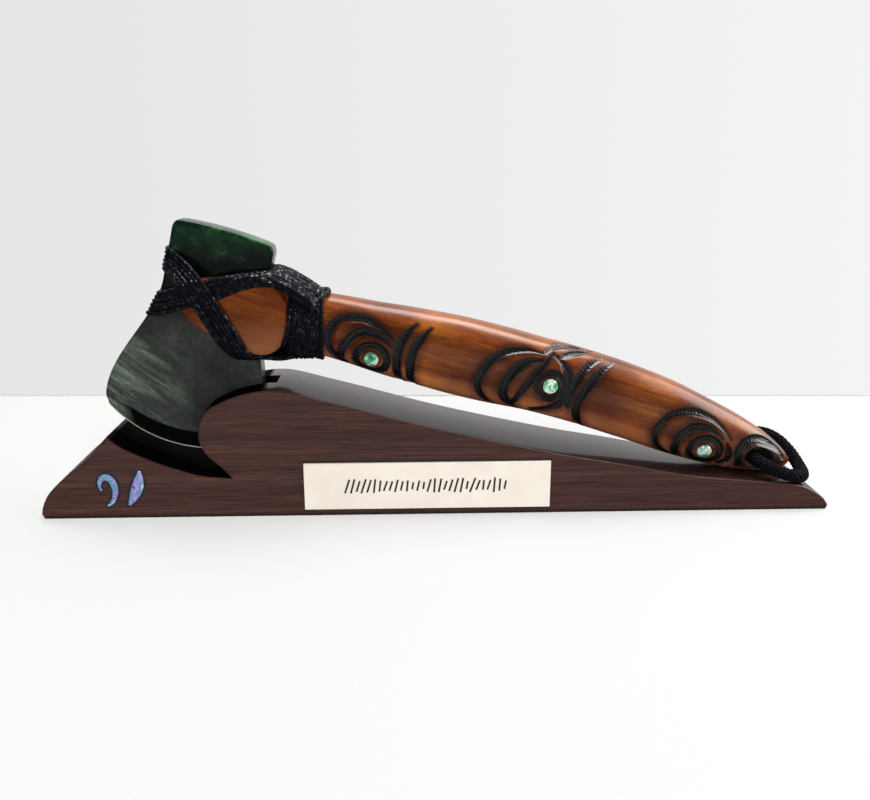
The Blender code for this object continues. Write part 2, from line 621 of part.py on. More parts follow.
def make_haft(material):
    half = fork_half_depth()
    haft = prism("haft", fork_outline(), -half, half, CHEEK_ROUNDING, material)
    combine(haft, [haft_body("haft_grip")], "UNION", "haft_join")
    stone, _ = head_outline(FIT_GAP)
    slot = HEAD_THICKNESS / 2 + FIT_GAP
    cutters = [prism("fork_slot", stone + (AXE_X, AXE_Z), -slot, slot)]
    hole_x, hole_z = from_plan(*CORD_HOLE)
    radius = CORD_DIAMETER / 2 + CORD_CLEARANCE
    circle = [(hole_x + radius * math.cos(t), hole_z + radius * math.sin(t))
              for t in np.linspace(0, 2 * math.pi, 16, endpoint=False)]
    cutters.append(prism("cord_hole", circle, -HAFT_DEPTH, HAFT_DEPTH))
    for eye in EYES:
        floor = -DISC_SINK - DISC_THICKNESS - FIT_GAP
        cutters.append(eye_cylinder(f"pocket_{eye}", eye, DISC_RADIUS + FIT_GAP, floor, 3 * MM))
    combine(haft, cutters + carving_cutters(), "DIFFERENCE", "haft_cuts")
    return haft


def make_discs(material):
    for eye in EYES:
        eye_cylinder(f"shell_disc_{eye}", eye, DISC_RADIUS, -DISC_SINK - DISC_THICKNESS,
                     -DISC_SINK, material)


# Lashing
def inside_outline(px, pz, outline):
    """Which points are inside a closed outline."""
    inside = np.zeros(px.shape, bool)
    for (x0, z0), (x1, z1) in zip(outline, np.roll(outline, -1, axis=0)):
        if z0 == z1:
            continue
        crosses = (z0 > pz) != (z1 > pz)
        inside ^= crosses & (px < (x1 - x0) * (pz - z0) / (z1 - z0) + x0)
    return inside


def inside_axe(px, py, pz, turns):
    """Which points are inside the stone, the fork, the neck or a turn laid before."""
    stone = HEAD_PROFILE + (AXE_X, AXE_Z)
    found = inside_outline(px, pz, stone) & (abs(py) < HEAD_THICKNESS / 2)
    found |= inside_outline(px, pz, fork_outline()) & (abs(py) < fork_half_depth())
    plan_x = (px - AXE_X) / UNIT
    for x in np.arange(NECK_START, 72.0, 1.0):
        middle, half_height, half_depth = plan_section(x)
        if x >= BINDING_START:
            half_height += LASHING_THICKNESS
            half_depth += LASHING_THICKNESS
        size = (abs(pz - AXE_Z - middle) / half_height) ** HAFT_SQUARENESS
        size += (abs(py) / half_depth) ** HAFT_SQUARENESS
        found |= (abs(plan_x - x) <= 0.5) & (size < 1)
    for path, across, marks, half_widths, hull in turns:
        apart = np.hypot(px[:, :1] - path[:, 0], pz[:, :1] - path[:, 1])
        nearest = apart.argmin(axis=1)
        offset = ((px[:, 0] - path[nearest, 0]) * across[nearest, 0]
                  + (pz[:, 0] - path[nearest, 1]) * across[nearest, 1])
        s = np.broadcast_to(marks[nearest][:, None], px.shape)
        reach = half_widths[nearest]
        near = (abs(offset) < reach) & (apart.min(axis=1) < reach)
        found |= near[:, None] & inside_outline(s, py, grown(hull, -TURN_SINK))
    return found


def convex_hull(points):
    points = sorted(set(map(tuple, points)))

    def half_hull(run):
        hull = []
        for p in run:
            while len(hull) > 1:
                (ax, ay), (bx, by) = hull[-2], hull[-1]
                if (bx - ax) * (p[1] - ay) - (by - ay) * (p[0] - ax) > 1e-9:
                    break
                hull.pop()
            hull.append(p)
        return hull[:-1]
    return np.array(half_hull(points) + half_hull(points[::-1]))


def rounded_offset(hull, amount):
    """A convex outline moved outwards, with its corners rounded."""
    edges = np.roll(hull, -1, axis=0) - hull
    angles = np.arctan2(-edges[:, 0], edges[:, 1])
    points = []
    for i, corner in enumerate(hull):
        start = angles[i - 1]
        turn = (angles[i] - start) % (2 * math.pi)
        steps = max(1, round(turn / math.radians(40)))
        for k in range(steps + 1):
            t = start + turn * k / steps
            points.append(corner + amount * np.array((math.cos(t), math.sin(t))))
    return np.array(points)


def thinned(outline, tolerance):
    """The outline without the points that hardly bend it."""
    kept = [outline[0]]
    for before, point, after in zip(outline[:-1], outline[1:], np.roll(outline, -1, axis=0)[1:]):
        chord = after - kept[-1]
        offset = abs(np.cross(chord, point - kept[-1])) / (np.linalg.norm(chord) + 1e-12)
        if offset > tolerance or np.linalg.norm(point - kept[-1]) > 25 * MM:
            kept.append(point)
    return np.array(kept)


def lashing_turn(name, plan_points, slack, under):
    """A flat turn of cord pulled tight round the axe, along a plan curve front and back."""
    path = smooth_curve([from_plan(x, z) for x, z in plan_points], 220)
    first, last = path[0] - path[1], path[-1] - path[-2]
    lead = path[0] + first / np.linalg.norm(first) * 10 * MM
    trail = path[-1] + last / np.linalg.norm(last) * 5 * MM
    path = np.vstack((np.linspace(lead, path[0], 30)[:-1], path, trail))
    run = np.gradient(path, axis=0)
    run /= np.linalg.norm(run, axis=1)[:, None]
    across = np.column_stack((-run[:, 1], run[:, 0]))
    lengths = np.linalg.norm(np.diff(path, axis=0), axis=1)
    marks = np.concatenate(([0.0], np.cumsum(lengths)))
    share = marks / marks[-1]
    taper = 1 - (1 - BAND_TAPER) * np.clip((share - 0.55) / 0.2, 0, 1)
    half_widths = taper * BAND_TURN_WIDTH * MM / 2
    step = 0.2 * MM
    depths = np.arange(0, 24 * MM, step)
    found = np.zeros((len(path), len(depths)), bool)
    y = np.broadcast_to(depths, found.shape)
    for m in np.linspace(-1, 1, 7):
        place = path + m * half_widths[:, None] * across
        px = np.broadcast_to(place[:, :1], found.shape)
        pz = np.broadcast_to(place[:, 1:], found.shape)
        found |= inside_axe(px, y, pz, under)
    found &= ((marks > 4 * MM) & (marks < marks[-1] - 4 * MM))[:, None]
    points = np.column_stack((np.repeat(marks, len(depths)),
                              np.tile(depths + step, len(marks))))
    points = points[found.ravel()]
    hull = thinned(convex_hull(np.vstack((points, points * (1, -1)))), 0.15 * MM)
    low_gap = FIT_GAP + step / 2 + slack * MM
    inner = rounded_offset(hull, low_gap)
    outer = rounded_offset(hull, low_gap + LASHING_THICKNESS)
    shoulder = rounded_offset(hull, low_gap + 0.6 * LASHING_THICKNESS)
    verts = []
    for low, high, side in zip(inner, outer, shoulder):
        for (s, depth), m in ((low, -1), (low, 1), (side, 1), (high, 0), (side, -1)):
            m *= np.interp(s, marks, half_widths)
            x = np.interp(s, marks, path[:, 0]) + m * np.interp(s, marks, across[:, 0])
            z = np.interp(s, marks, path[:, 1]) + m * np.interp(s, marks, across[:, 1])
            verts.append((x, depth, z))
    turn = add_mesh(name, verts, ring_faces(len(inner), 5, closed=True))
    return turn, (path, across, marks, half_widths, outer)


def shoulder_wrap():
    """The crossed turns that lie over the haft's shoulder, behind the stone."""
    table = np.array(SHOULDER)
    marks = np.linspace(0, 1, 9)
    rows = smooth_curve(table, len(marks))
    around = 18
    verts = []
    for x, foot, crown, half_depth in rows:
        for k in range(around):
            angle = 2 * math.pi * (k + 0.5) / around
            s, c = math.sin(angle), math.cos(angle)
            z = (foot + crown) / 2 + (crown - foot) / 2 * math.copysign(abs(s) ** 0.8, s)
            px, pz = from_plan(x, z)
            verts.append((px, half_depth * UNIT * math.copysign(abs(c) ** 0.8, c), pz))
    return add_mesh("shoulder_wrap", verts, ring_faces(len(rows), around))


def make_lashing(material):
    """The binding round the neck, joined with the two crossed bands and the shoulder wrap."""
    steps = 2 * LASHING_TURNS
    verts = []
    for k in range(steps + 1):
        x = BINDING_START + (BINDING_END - BINDING_START) * k / steps
        ridge = LASHING_THICKNESS * (1.0 if k % 2 else 0.6)
        verts += haft_ring(x, FIT_GAP + ridge)
    lashing = add_mesh("lashing", verts, ring_faces(steps + 1, GRIP_SIDES), material)
    joined, layers = [shoulder_wrap()], []
    for number, path in enumerate(BAND_UP):
        turn, layer = lashing_turn(f"turn_up_{number}", path, 0.02 + 0.07 * number, [])
        joined.append(turn)
        layers.append(layer)
    for number, path in enumerate(BAND_DOWN):
        slack = 0.05 + 0.07 * number
        joined.append(lashing_turn(f"turn_down_{number}", path, slack, layers)[0])
    combine(lashing, joined, "UNION", "lashing_join")
    half = fork_half_depth() + FIT_GAP
    fork = grown(fork_outline(), FIT_GAP)
    cutters = [prism("fork_clearance", fork, -half, half, CHEEK_ROUNDING),
               haft_body("neck_clearance", FIT_GAP)]
    combine(lashing, cutters, "DIFFERENCE", "lashing_clearance")
    return lashing


# Wrist cord
def make_wrist_cord(material):
    curve = bpy.data.curves.new("wrist_cord", "CURVE")
    curve.dimensions = "3D"
    curve.bevel_depth = CORD_DIAMETER / 2
    curve.bevel_resolution = 2
    curve.use_fill_caps = True
    nominal_x, nominal_z = 155.9, 22.7
    hole_x, hole_z = from_plan(*CORD_HOLE)
    route = np.array(CORD_ROUTE) * MM
    length = np.linalg.norm(np.diff(route, axis=0), axis=1).sum()
    path = smooth_curve(route, round(length / CORD_RING_STEP) + 1)
    path += (hole_x - nominal_x * MM, 0.0, hole_z - nominal_z * MM)
    spline = curve.splines.new("POLY")
    spline.points.add(len(path) - 1)
    for point, place in zip(spline.points, path):
        point.co = (*place, 1.0)
    cord = bpy.data.objects.new("wrist_cord", curve)
    bpy.context.scene.collection.objects.link(cord)
    curve.materials.append(material)
    return cord


# Name plate and inlays
def make_plate(material):
    left = -STAND_LENGTH / 2 + PLATE_SETBACK
    right = left + PLATE_LENGTH
    outline = stand_outline()
    top = outline[(outline[:, 1] > 3 * MM) & (outline[:, 0] > left)]
    order = np.argsort(top[:, 0])
    height = np.interp(right, top[order, 0], top[order, 1])
    middle = height / 2
    low, high = middle - PLATE_HEIGHT / 2, middle + PLATE_HEIGHT / 2
    corners = [(left, low), (right, low), (right, high), (left, high)]
    back = STAND_FRONT - FIT_GAP
    return prism("name_plate", corners, back - PLATE_THICKNESS, back, 0.2 * MM, material)


def ribbon_outline(spine, half_widths, grow=0.0):
    """Outline of a ribbon that follows a spine, with its own half width at each point."""
    spine = np.array(spine)
    step = np.gradient(spine, axis=0)
    step /= np.linalg.norm(step, axis=1)[:, None]
    spine = spine.copy()
    spine[0] -= step[0] * grow
    spine[-1] += step[-1] * grow
    out = np.column_stack((step[:, 1], -step[:, 0]))
    reach = (np.array(half_widths) + grow)[:, None]
    return np.vstack((spine + out * reach, (spine - out * reach)[::-1]))


def curl_shape(grow=0.0):
    """An opening frond: a hook that swells to a round bulb."""
    middle = -STAND_LENGTH / 2 + CURL_SETBACK
    size = INLAY_HEIGHT / 2
    spine, widths = [], []
    for t in np.linspace(0, 1, 15):
        turn = math.radians(-85 + 300 * t)
        radius = size * (0.93 - 0.58 * t)
        spine.append((middle + radius * math.cos(turn) * 0.66,
                      INLAY_BASE + size * (0.96 + 0.12 * t) + radius * math.sin(turn)))
        widths.append(size * (0.06 + 0.15 * math.sin(math.pi * min(t * 1.1, 1.0))))
    return ribbon_outline(spine, widths, grow)


def leaf_shape(grow=0.0):
    """A slender leaf, pointed at both ends."""
    middle = -STAND_LENGTH / 2 + LEAF_SETBACK
    spine, widths = [], []
    for t in np.linspace(0, 1, 11):
        bow = 0.08 * math.sin(math.pi * t) + 0.34 * (t - 0.5)
        spine.append((middle + bow * INLAY_HEIGHT, INLAY_BASE + INLAY_HEIGHT * (0.02 + 0.96 * t)))
        widths.append(INLAY_HEIGHT * (0.02 + 0.15 * math.sin(math.pi * t) ** 0.8))
    return ribbon_outline(spine, widths, grow)


def make_inlays(stand, material):
    pockets = []
    for name, shape in (("shell_curl", curl_shape), ("shell_leaf", leaf_shape)):
        face = STAND_FRONT - 0.1 * MM
        prism(name, shape(), face, face + INLAY_THICKNESS, 0.0, material)
        pocket_floor = face + INLAY_THICKNESS + FIT_GAP
        pockets.append(prism(f"{name}_pocket", shape(FIT_GAP), STAND_FRONT - 3 * MM, pocket_floor))
    combine(stand, pockets, "DIFFERENCE", "inlay_pockets")


def build():
    clear_scene()
    stained = make_material("stained_wood", (0.10, 0.032, 0.018), 0.35)
    lacquered = make_material("lacquered_wood", (0.30, 0.10, 0.035), 0.22)
    greenstone = make_material("greenstone", (0.035, 0.075, 0.055), 0.18)
    cord_black = make_material("black_cord", (0.02, 0.02, 0.024), 0.55)
    ivory = make_material("ivory_plate", (0.83, 0.79, 0.68), 0.40)
    shell = make_material("paua_shell", (0.35, 0.62, 0.55), 0.15)
    stand = make_stand(stained)
    make_inlays(stand, shell)
    make_plate(ivory)
    make_head(greenstone)
    make_haft(lacquered)
    make_discs(shell)
    make_lashing(cord_black)
    make_wrist_cord(cord_black)


build()
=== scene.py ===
# %% [markdown]
# # A hafted greenstone axe on its stand
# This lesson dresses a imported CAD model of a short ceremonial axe: a greenstone blade lashed with
# black waxed cord into a carved, lacquered handle that lies on a stained wooden stand.
# The CAD model is the frame. Each piece made here takes the place of one CAD node, stays in the
# room that the node fills, and gets the shape and finish that only a close look shows.
# All of the drawing is in millimetres, and MM turns it into Blender's metres at the last moment.

# %% Load the frame
import math

import bmesh
import bpy
import numpy as np
from mathutils import Matrix, Vector


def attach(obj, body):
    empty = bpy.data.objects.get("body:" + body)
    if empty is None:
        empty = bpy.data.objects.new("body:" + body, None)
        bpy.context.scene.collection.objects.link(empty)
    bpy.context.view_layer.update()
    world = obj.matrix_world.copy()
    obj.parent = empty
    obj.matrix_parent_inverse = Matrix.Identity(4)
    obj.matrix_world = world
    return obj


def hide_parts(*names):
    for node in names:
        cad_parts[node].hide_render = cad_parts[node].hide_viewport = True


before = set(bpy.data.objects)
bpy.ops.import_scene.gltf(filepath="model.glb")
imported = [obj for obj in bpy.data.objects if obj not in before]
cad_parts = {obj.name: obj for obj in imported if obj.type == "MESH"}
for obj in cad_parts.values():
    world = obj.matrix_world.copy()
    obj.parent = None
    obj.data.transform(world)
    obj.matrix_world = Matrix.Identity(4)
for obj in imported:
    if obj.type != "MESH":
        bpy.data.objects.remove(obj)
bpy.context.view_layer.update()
MM = 0.001
print("nodes:", ", ".join(sorted(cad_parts)))

# %% [markdown]
# ## Camera
# The camera stands where the photo was taken from: a little above the axe, looking slightly down.
# Its lens was solved from the stand's straight edges, so every piece lines up later on.

# %% Set the camera
IMAGE_WIDTH = 870
FOCAL_PIXELS = 906
camera_data = bpy.data.cameras.new("camera")
camera_data.sensor_width = 36
camera_data.lens = FOCAL_PIXELS / IMAGE_WIDTH * camera_data.sensor_width
camera_data.clip_start = 0.01
camera = bpy.data.objects.new("camera", camera_data)
camera.location = (-0.0165, -0.4296, 0.1696)
camera.rotation_euler = (math.radians(90 - 15.43), 0, math.radians(-1.947))
bpy.context.scene.collection.objects.link(camera)
bpy.context.scene.camera = camera
print(f"lens {camera_data.lens:.2f} mm")

# %% [markdown]
# ## Helpers for curves and meshes
# Nearly every piece starts as a few measured points. A smooth curve through them, sampled evenly,
# is the base of the carving, the cords and the outlines. Further helpers turn arrays of points
# into meshes and hand the finished pieces over.


# %% Curves through points
def lengths_along(points):
    """How far along a line of points each one lies."""
    steps = np.linalg.norm(np.diff(points, axis=0), axis=1)
    return np.concatenate(([0.0], np.cumsum(steps)))


def unit(vectors):
    """The same directions with a length of one."""
    return vectors / np.linalg.norm(vectors, axis=-1, keepdims=True)


def hermite(t, span, start, start_slope, end, end_slope):
    """A smooth step from one value to the next that keeps their slopes."""
    return ((2 * t**3 - 3 * t**2 + 1) * start + (t**3 - 2 * t**2 + t) * span * start_slope
            + (3 * t**2 - 2 * t**3) * end + (t**3 - t**2) * span * end_slope)


def smooth_curve(points, count):
    """Points evenly spaced along a smooth curve through the given ones."""
    pts = np.array(points, float)
    chord = np.linalg.norm(np.diff(pts, axis=0), axis=1)
    knots = np.concatenate(([0.0], np.cumsum(np.sqrt(chord))))
    slopes = np.gradient(pts, knots, axis=0)
    dense = []
    for i in range(len(pts) - 1):
        span = knots[i + 1] - knots[i]
        t = np.linspace(0, 1, 24, endpoint=(i == len(pts) - 2))[:, None]
        dense.append(hermite(t, span, pts[i], slopes[i], pts[i + 1], slopes[i + 1]))
    dense = np.vstack(dense)
    run = lengths_along(dense)
    marks = np.linspace(0, run[-1], count)
    return np.column_stack([np.interp(marks, run, dense[:, k]) for k in range(pts.shape[1])])


def ease(t):
    """Smooth step from 0 to 1, for numbers or arrays."""
    t = np.clip(t, 0.0, 1.0)
    return t * t * (3 - 2 * t)


def wavy(seed, values, step):
    """Smooth random numbers from -1 to 1 along a list of lengths."""
    rng = np.random.default_rng(seed)
    knots = rng.uniform(-1, 1, int(np.max(values) / step) + 4)
    return np.interp(values, np.arange(len(knots)) * step, knots)


half_circle = smooth_curve([(math.cos(t), math.sin(t)) for t in np.linspace(0, math.pi, 9)], 60)
print(f"half a circle through 9 points measures {lengths_along(half_circle)[-1]:.3f}")


# %% Meshes from arrays
SHARP_ANGLE = 35                         # degrees; an edge that turns more is drawn sharp


def add_mesh(name, verts, faces, materials=(), smooth_angle=SHARP_ANGLE):
    """A mesh object from points in millimetres, with sharp edges where it turns quickly."""
    mesh = bpy.data.meshes.new(name)
    mesh.from_pydata([tuple(v) for v in np.asarray(verts) * MM], [], faces)
    for material in materials:
        mesh.materials.append(material)
    mesh.shade_smooth()
    mesh.set_sharp_from_angle(angle=math.radians(smooth_angle))
    mesh.update()
    thing = bpy.data.objects.new(name, mesh)
    bpy.context.scene.collection.objects.link(thing)
    return thing


def ring_faces(rings, size):
    """Quads between rings of equal size, and a cap at each end."""
    last = (rings - 1) * size
    faces = []
    for a in range(0, last, size):
        b = a + size
        faces += [(a + i, a + (i + 1) % size, b + (i + 1) % size, b + i) for i in range(size)]
    return faces + [tuple(range(size))[::-1], tuple(range(last, last + size))]


def store(thing, name, values):
    """Keeps one number for each vertex, for a material to read."""
    attribute = thing.data.attributes.new(name, "FLOAT", "POINT")
    attribute.data.foreach_set("value", np.asarray(values, float).ravel())


def outward(thing):
    """Turns all faces outwards."""
    working = bmesh.new()
    working.from_mesh(thing.data)
    bmesh.ops.recalc_face_normals(working, faces=working.faces)
    working.to_mesh(thing.data)
    working.free()
    return thing


def applied(thing):
    """The object with its modifiers applied, as a plain mesh at the origin."""
    graph = bpy.context.evaluated_depsgraph_get()
    mesh = bpy.data.meshes.new_from_object(thing.evaluated_get(graph))
    name = thing.name
    bpy.data.objects.remove(thing, do_unlink=True)
    plain = bpy.data.objects.new(name, mesh)
    bpy.context.scene.collection.objects.link(plain)
    return plain


def joined(thing, *others):
    """Joins other objects into the first one."""
    with bpy.context.temp_override(active_object=thing,
                                   selected_editable_objects=[thing, *others]):
        bpy.ops.object.join()
    return thing


def placed(piece, slot, *nodes):
    """Hands a finished piece to the frame."""
    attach(piece, "root")
    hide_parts(*nodes)
    print(f"{piece.name}: {len(piece.data.polygons)} faces")


print("faces of a tube of 3 square rings with its caps:", len(ring_faces(3, 4)))

# %% [markdown]
# ## Helpers for materials
# A finish is a small node tree. These helpers keep each line of a tree short: one makes a node,
# sets its values and plugs in what feeds it, one starts a reusable group, and the others stand
# for the few nodes that every finish here needs.


# %% Node helpers
def plug(tree, made, inputs):
    """Sets a node's inputs to plain values, or links them to sockets."""
    for key, value in inputs.items():
        if isinstance(value, bpy.types.NodeSocket):
            tree.links.new(value, made.inputs[key])
        else:
            made.inputs[key].default_value = value
    return made


def node(tree, kind, inputs=None, **settings):
    """Adds a node, with values or sockets plugged into its inputs."""
    made = tree.nodes.new(kind)
    for key, value in settings.items():
        setattr(made, key, value)
    return plug(tree, made, inputs or {})


def new_material(name):
    """A material with its tree and its shader."""
    material = bpy.data.materials.new(name)
    material.use_nodes = True
    return material, material.node_tree, material.node_tree.nodes["Principled BSDF"]


def new_tree(name, kind, inputs, outputs):
    """A node group with named inputs and outputs, and the identifiers of its inputs."""
    group = bpy.data.node_groups.new(name, kind)
    identifiers = {}
    for label, socket_kind, default in inputs:
        socket = group.interface.new_socket(label, in_out="INPUT", socket_type=socket_kind)
        if default is not None:
            socket.default_value = default
        identifiers[label] = socket.identifier
    for label, socket_kind in outputs:
        group.interface.new_socket(label, in_out="OUTPUT", socket_type=socket_kind)
    inlet, outlet = group.nodes.new("NodeGroupInput"), group.nodes.new("NodeGroupOutput")
    return group, inlet, outlet, identifiers


def maths(tree, operation, a, b=0.0):
    """One sum with sockets or numbers."""
    return node(tree, "ShaderNodeMath", {0: a, 1: b}, operation=operation).outputs[0]


def times(tree, a, b):
    return maths(tree, "MULTIPLY", a, b)


def mix(tree, factor, a, b, blend="MIX"):
    """A colour mix; a and b are sockets or colours."""
    a, b = (value if isinstance(value, bpy.types.NodeSocket) else (*value, 1.0)
            for value in (a, b))
    return node(tree, "ShaderNodeMix", {0: factor, 6: a, 7: b}, data_type="RGBA",
                blend_type=blend).outputs[2]


def ramp(tree, factor, *stops):
    """A colour ramp from (position, colour) stops."""
    made = node(tree, "ShaderNodeValToRGB", {"Fac": factor})
    elements = made.color_ramp.elements
    while len(elements) < len(stops):
        elements.new(0.5)
    for element, (position, colour) in zip(elements, stops):
        element.position = position
        element.color = (*colour, 1.0)
    return made.outputs["Color"]


def remap(tree, value, low, high, start=0.0, end=1.0):
    """Stretches the range from low to high to the one from start to end, and stops there."""
    return node(tree, "ShaderNodeMapRange", {
        "Value": value, "From Min": low, "From Max": high, "To Min": start,
        "To Max": end}).outputs[0]


def noise(tree, vector, scale, detail, roughness=0.5, distortion=0.0):
    """Cloudy noise, as one number."""
    return node(tree, "ShaderNodeTexNoise", {
        "Vector": vector, "Scale": scale, "Detail": detail, "Roughness": roughness,
        "Distortion": distortion}).outputs[0]


def bumps(tree, height, strength, distance):
    """A normal that a height has disturbed."""
    return node(tree, "ShaderNodeBump", {
        "Height": height, "Strength": strength, "Distance": distance}).outputs[0]


def object_place(tree):
    return node(tree, "ShaderNodeTexCoord").outputs["Object"]


def split(tree, vector):
    """The X, Y and Z of a vector."""
    return tuple(node(tree, "ShaderNodeSeparateXYZ", {0: vector}).outputs)


def carried(tree, name, output="Fac"):
    """What each vertex of the mesh carries under a name."""
    return node(tree, "ShaderNodeAttribute", attribute_name=name).outputs[output]


print("node helpers ready")

# %% [markdown]
# ## Wood grain
# Both woods show long fibres, broad darker bands and short open pores. They are one shader group,
# built once: noise squeezed across the grain and stretched along it. Each wood places the group
# with its own direction and scale, so the stand and the handle stay two different timbers.

# %% Build the wood grain group
grain_group, inlet, outlet, _ = new_tree(
    "wood_grain", "ShaderNodeTree",
    (("Vector", "NodeSocketVector", (0, 0, 0)), ("Across", "NodeSocketFloat", 900.0),
     ("Stretch", "NodeSocketFloat", 0.04)),
    (("Fibres", "NodeSocketFloat"), ("Bands", "NodeSocketFloat"), ("Pores", "NodeSocketFloat")))
across = inlet.outputs["Across"]
scales = node(grain_group, "ShaderNodeCombineXYZ", {
    "X": times(grain_group, across, inlet.outputs["Stretch"]), "Y": across, "Z": across})
stretched = node(grain_group, "ShaderNodeVectorMath", {
    0: inlet.outputs["Vector"], 1: scales.outputs[0]}, operation="MULTIPLY").outputs[0]
plug(grain_group, outlet, {
    "Fibres": noise(grain_group, stretched, 1.0, 5.0, 0.62),
    "Bands": noise(grain_group, stretched, 0.11, 3.0, 0.55, 0.6),
    "Pores": remap(grain_group, noise(grain_group, stretched, 2.6, 1.0, 0.4), 0.60, 0.70)})
print("wood grain group ready")


def add_grain(tree, vector, across, stretch):
    """Fibres, bands and pores of a wood with its own scale and stretch."""
    made = node(tree, "ShaderNodeGroup", {
        "Vector": vector, "Across": across, "Stretch": stretch}, node_tree=grain_group)
    return tuple(made.outputs)


# %% [markdown]
# ## Stained wood of the stand
# The stand is a pale timber under a dark red-brown stain and a clear varnish: the fibres show as
# fine level lines, a shade lighter or darker. The top and the ends are painted darker than the flat
# sides as painted shade, the notch under the stone is painted black and made dull as painted shade,
# and the lowest rim is darkened as a painted shadow where the stand meets the table.

# %% Stained wood
SAWN_FROM, SAWN_TO = 0.0223, 0.0218      # metres from the middle, just inside the flat sides
NOTCH_LEFT, NOTCH_RIGHT = -0.1555, -0.0825
stained_wood, tree, shader = new_material("stained_wood")
place = object_place(tree)
x, y, z = split(tree, place)
fibres, bands, pores = add_grain(tree, place, 1700.0, 0.022)
colour = ramp(tree, bands, (0.30, (0.038, 0.0135, 0.0105)), (0.52, (0.050, 0.0190, 0.0145)),
              (0.72, (0.066, 0.0260, 0.0190)))
lines = ramp(tree, fibres, (0.36, (0.62, 0.54, 0.52)), (0.64, (1.40, 1.36, 1.32)))
colour = mix(tree, 1.0, colour, lines, "MULTIPLY")
colour = mix(tree, times(tree, pores, 0.55), colour, (0.012, 0.004, 0.003))
# Painted shadow: the lowest 2.4 mm of the stand grow darker towards the table.
painted_base_shadow = remap(tree, z, 0.0024, 0.0006, 0.0, 0.85)
colour = mix(tree, painted_base_shadow, colour, (0.002, 0.0015, 0.0015))
# Painted shade: the top and the ends are multiplied darker than the flat sides.
painted_top_shade = remap(tree, maths(tree, "ABSOLUTE", y), SAWN_FROM, SAWN_TO)
colour = mix(tree, painted_top_shade, colour, (0.30, 0.26, 0.26), "MULTIPLY")
# Painted shade: the notch and the hump's strip before the blade are painted near black, their gloss
# taken away.
notch = times(tree, remap(tree, x, NOTCH_LEFT - 0.001, NOTCH_LEFT + 0.001),
              remap(tree, x, NOTCH_RIGHT + 0.001, NOTCH_RIGHT - 0.001))
notch = times(tree, painted_top_shade, notch)
colour = mix(tree, notch, colour, (0.0020, 0.0018, 0.0018))
plug(tree, shader, {
    "Base Color": colour,
    "Roughness": remap(tree, fibres, 0.3, 0.7, 0.40, 0.52),
    "Specular IOR Level": remap(tree, notch, 0.0, 1.0, 0.12, 0.0),
    "Coat Weight": remap(tree, notch, 0.0, 1.0, 0.6, 0.02),
    "Coat Roughness": 0.10,
    "Normal": bumps(tree, maths(tree, "SUBTRACT", fibres, pores), 0.10, 0.0003)})
print("stained wood:", len(tree.nodes), "nodes")

# %% [markdown]
# ## Lacquered wood of the handle
# The handle is a warmer timber under a gloss that the hand has polished most at the grip: orange
# where the wood is pale and deep brown along its bands. Its colour is painted lighter below and a
# little on top as painted light, and darker along the middle as painted shade. The carved strokes
# are stained black. Each vertex of the handle's mesh carries how far it lies in a stroke and its
# painted shading, so that both follow the form exactly. The flat cheeks of the fork have no
# vertices inside, so the painted light on their foot is placed by its height.

# %% Lacquered wood
PAINTED_LIGHT_TONE = (0.36, 0.17, 0.075)             # painted light: the pale tone mixed in where the handle is painted lighter
GRAIN_SLOPE = math.radians(-16.7)
NECK, GRIP = -0.070, 0.008               # where the polish is least and where it is full
lacquered_wood, tree, shader = new_material("lacquered_wood")
place = object_place(tree)
x, y, z = split(tree, place)
turned = node(tree, "ShaderNodeMapping", {
    "Vector": place, "Rotation": (0.0, GRAIN_SLOPE, 0.0)}).outputs[0]
fibres, bands, pores = add_grain(tree, turned, 1900.0, 0.05)
colour = ramp(tree, bands, (0.30, (0.094, 0.016, 0.0020)), (0.50, (0.140, 0.029, 0.0032)),
              (0.70, (0.205, 0.053, 0.0055)))
lines = ramp(tree, fibres, (0.36, (0.66, 0.58, 0.50)), (0.64, (1.30, 1.32, 1.3)))
patches = ramp(tree, noise(tree, turned, 24.0, 3.0), (0.40, (0.55, 0.42, 0.40)),
               (0.50, (0.95, 0.92, 0.9)), (0.62, (1.45, 1.75, 1.60)))
for layer in (lines, patches):
    colour = mix(tree, 1.0, colour, layer, "MULTIPLY")
# Painted light and shade: the stored level scales the colour, and the pale tone goes where it is
# lightest.
painted_shading, glaze, stain = (carried(tree, name) for name in ("painted_shading", "glaze", "stain"))
colour = node(tree, "ShaderNodeVectorMath", {0: colour, "Scale": painted_shading},
              operation="SCALE").outputs[0]
colour = mix(tree, remap(tree, painted_shading, 1.0, 2.0, 0.0, 0.45), colour, PAINTED_LIGHT_TONE)
# Painted light: the foot of the fork's cheeks is mixed towards the pale tone.
fork_foot_painted_light = times(tree, remap(tree, x, NECK, NECK - 0.004),
                  remap(tree, z, 0.096, 0.081, 0.0, 0.34))
colour = mix(tree, fork_foot_painted_light, colour, PAINTED_LIGHT_TONE)
colour = mix(tree, glaze, colour, (0.46, 0.42, 0.62), "MULTIPLY")
colour = mix(tree, stain, colour, (0.0028, 0.0030, 0.0042))
polish = remap(tree, x, NECK, GRIP, 0.16, 0.66)
plug(tree, shader, {
    "Base Color": colour,
    "Roughness": remap(tree, stain, 0.0, 1.0, 0.34, 0.28),
    "Specular IOR Level": remap(tree, stain, 0.0, 1.0, 0.18, 0.45),
    "Specular Tint": mix(tree, stain, (1.0, 0.60, 0.34), (1.0, 1.0, 1.0)),
    "Coat Weight": remap(tree, stain, 0.0, 1.0, polish, 0.20),
    "Coat Roughness": 0.27,
    "Normal": bumps(tree, fibres, 0.06, 0.0002)})
print("lacquered wood:", len(tree.nodes), "nodes")
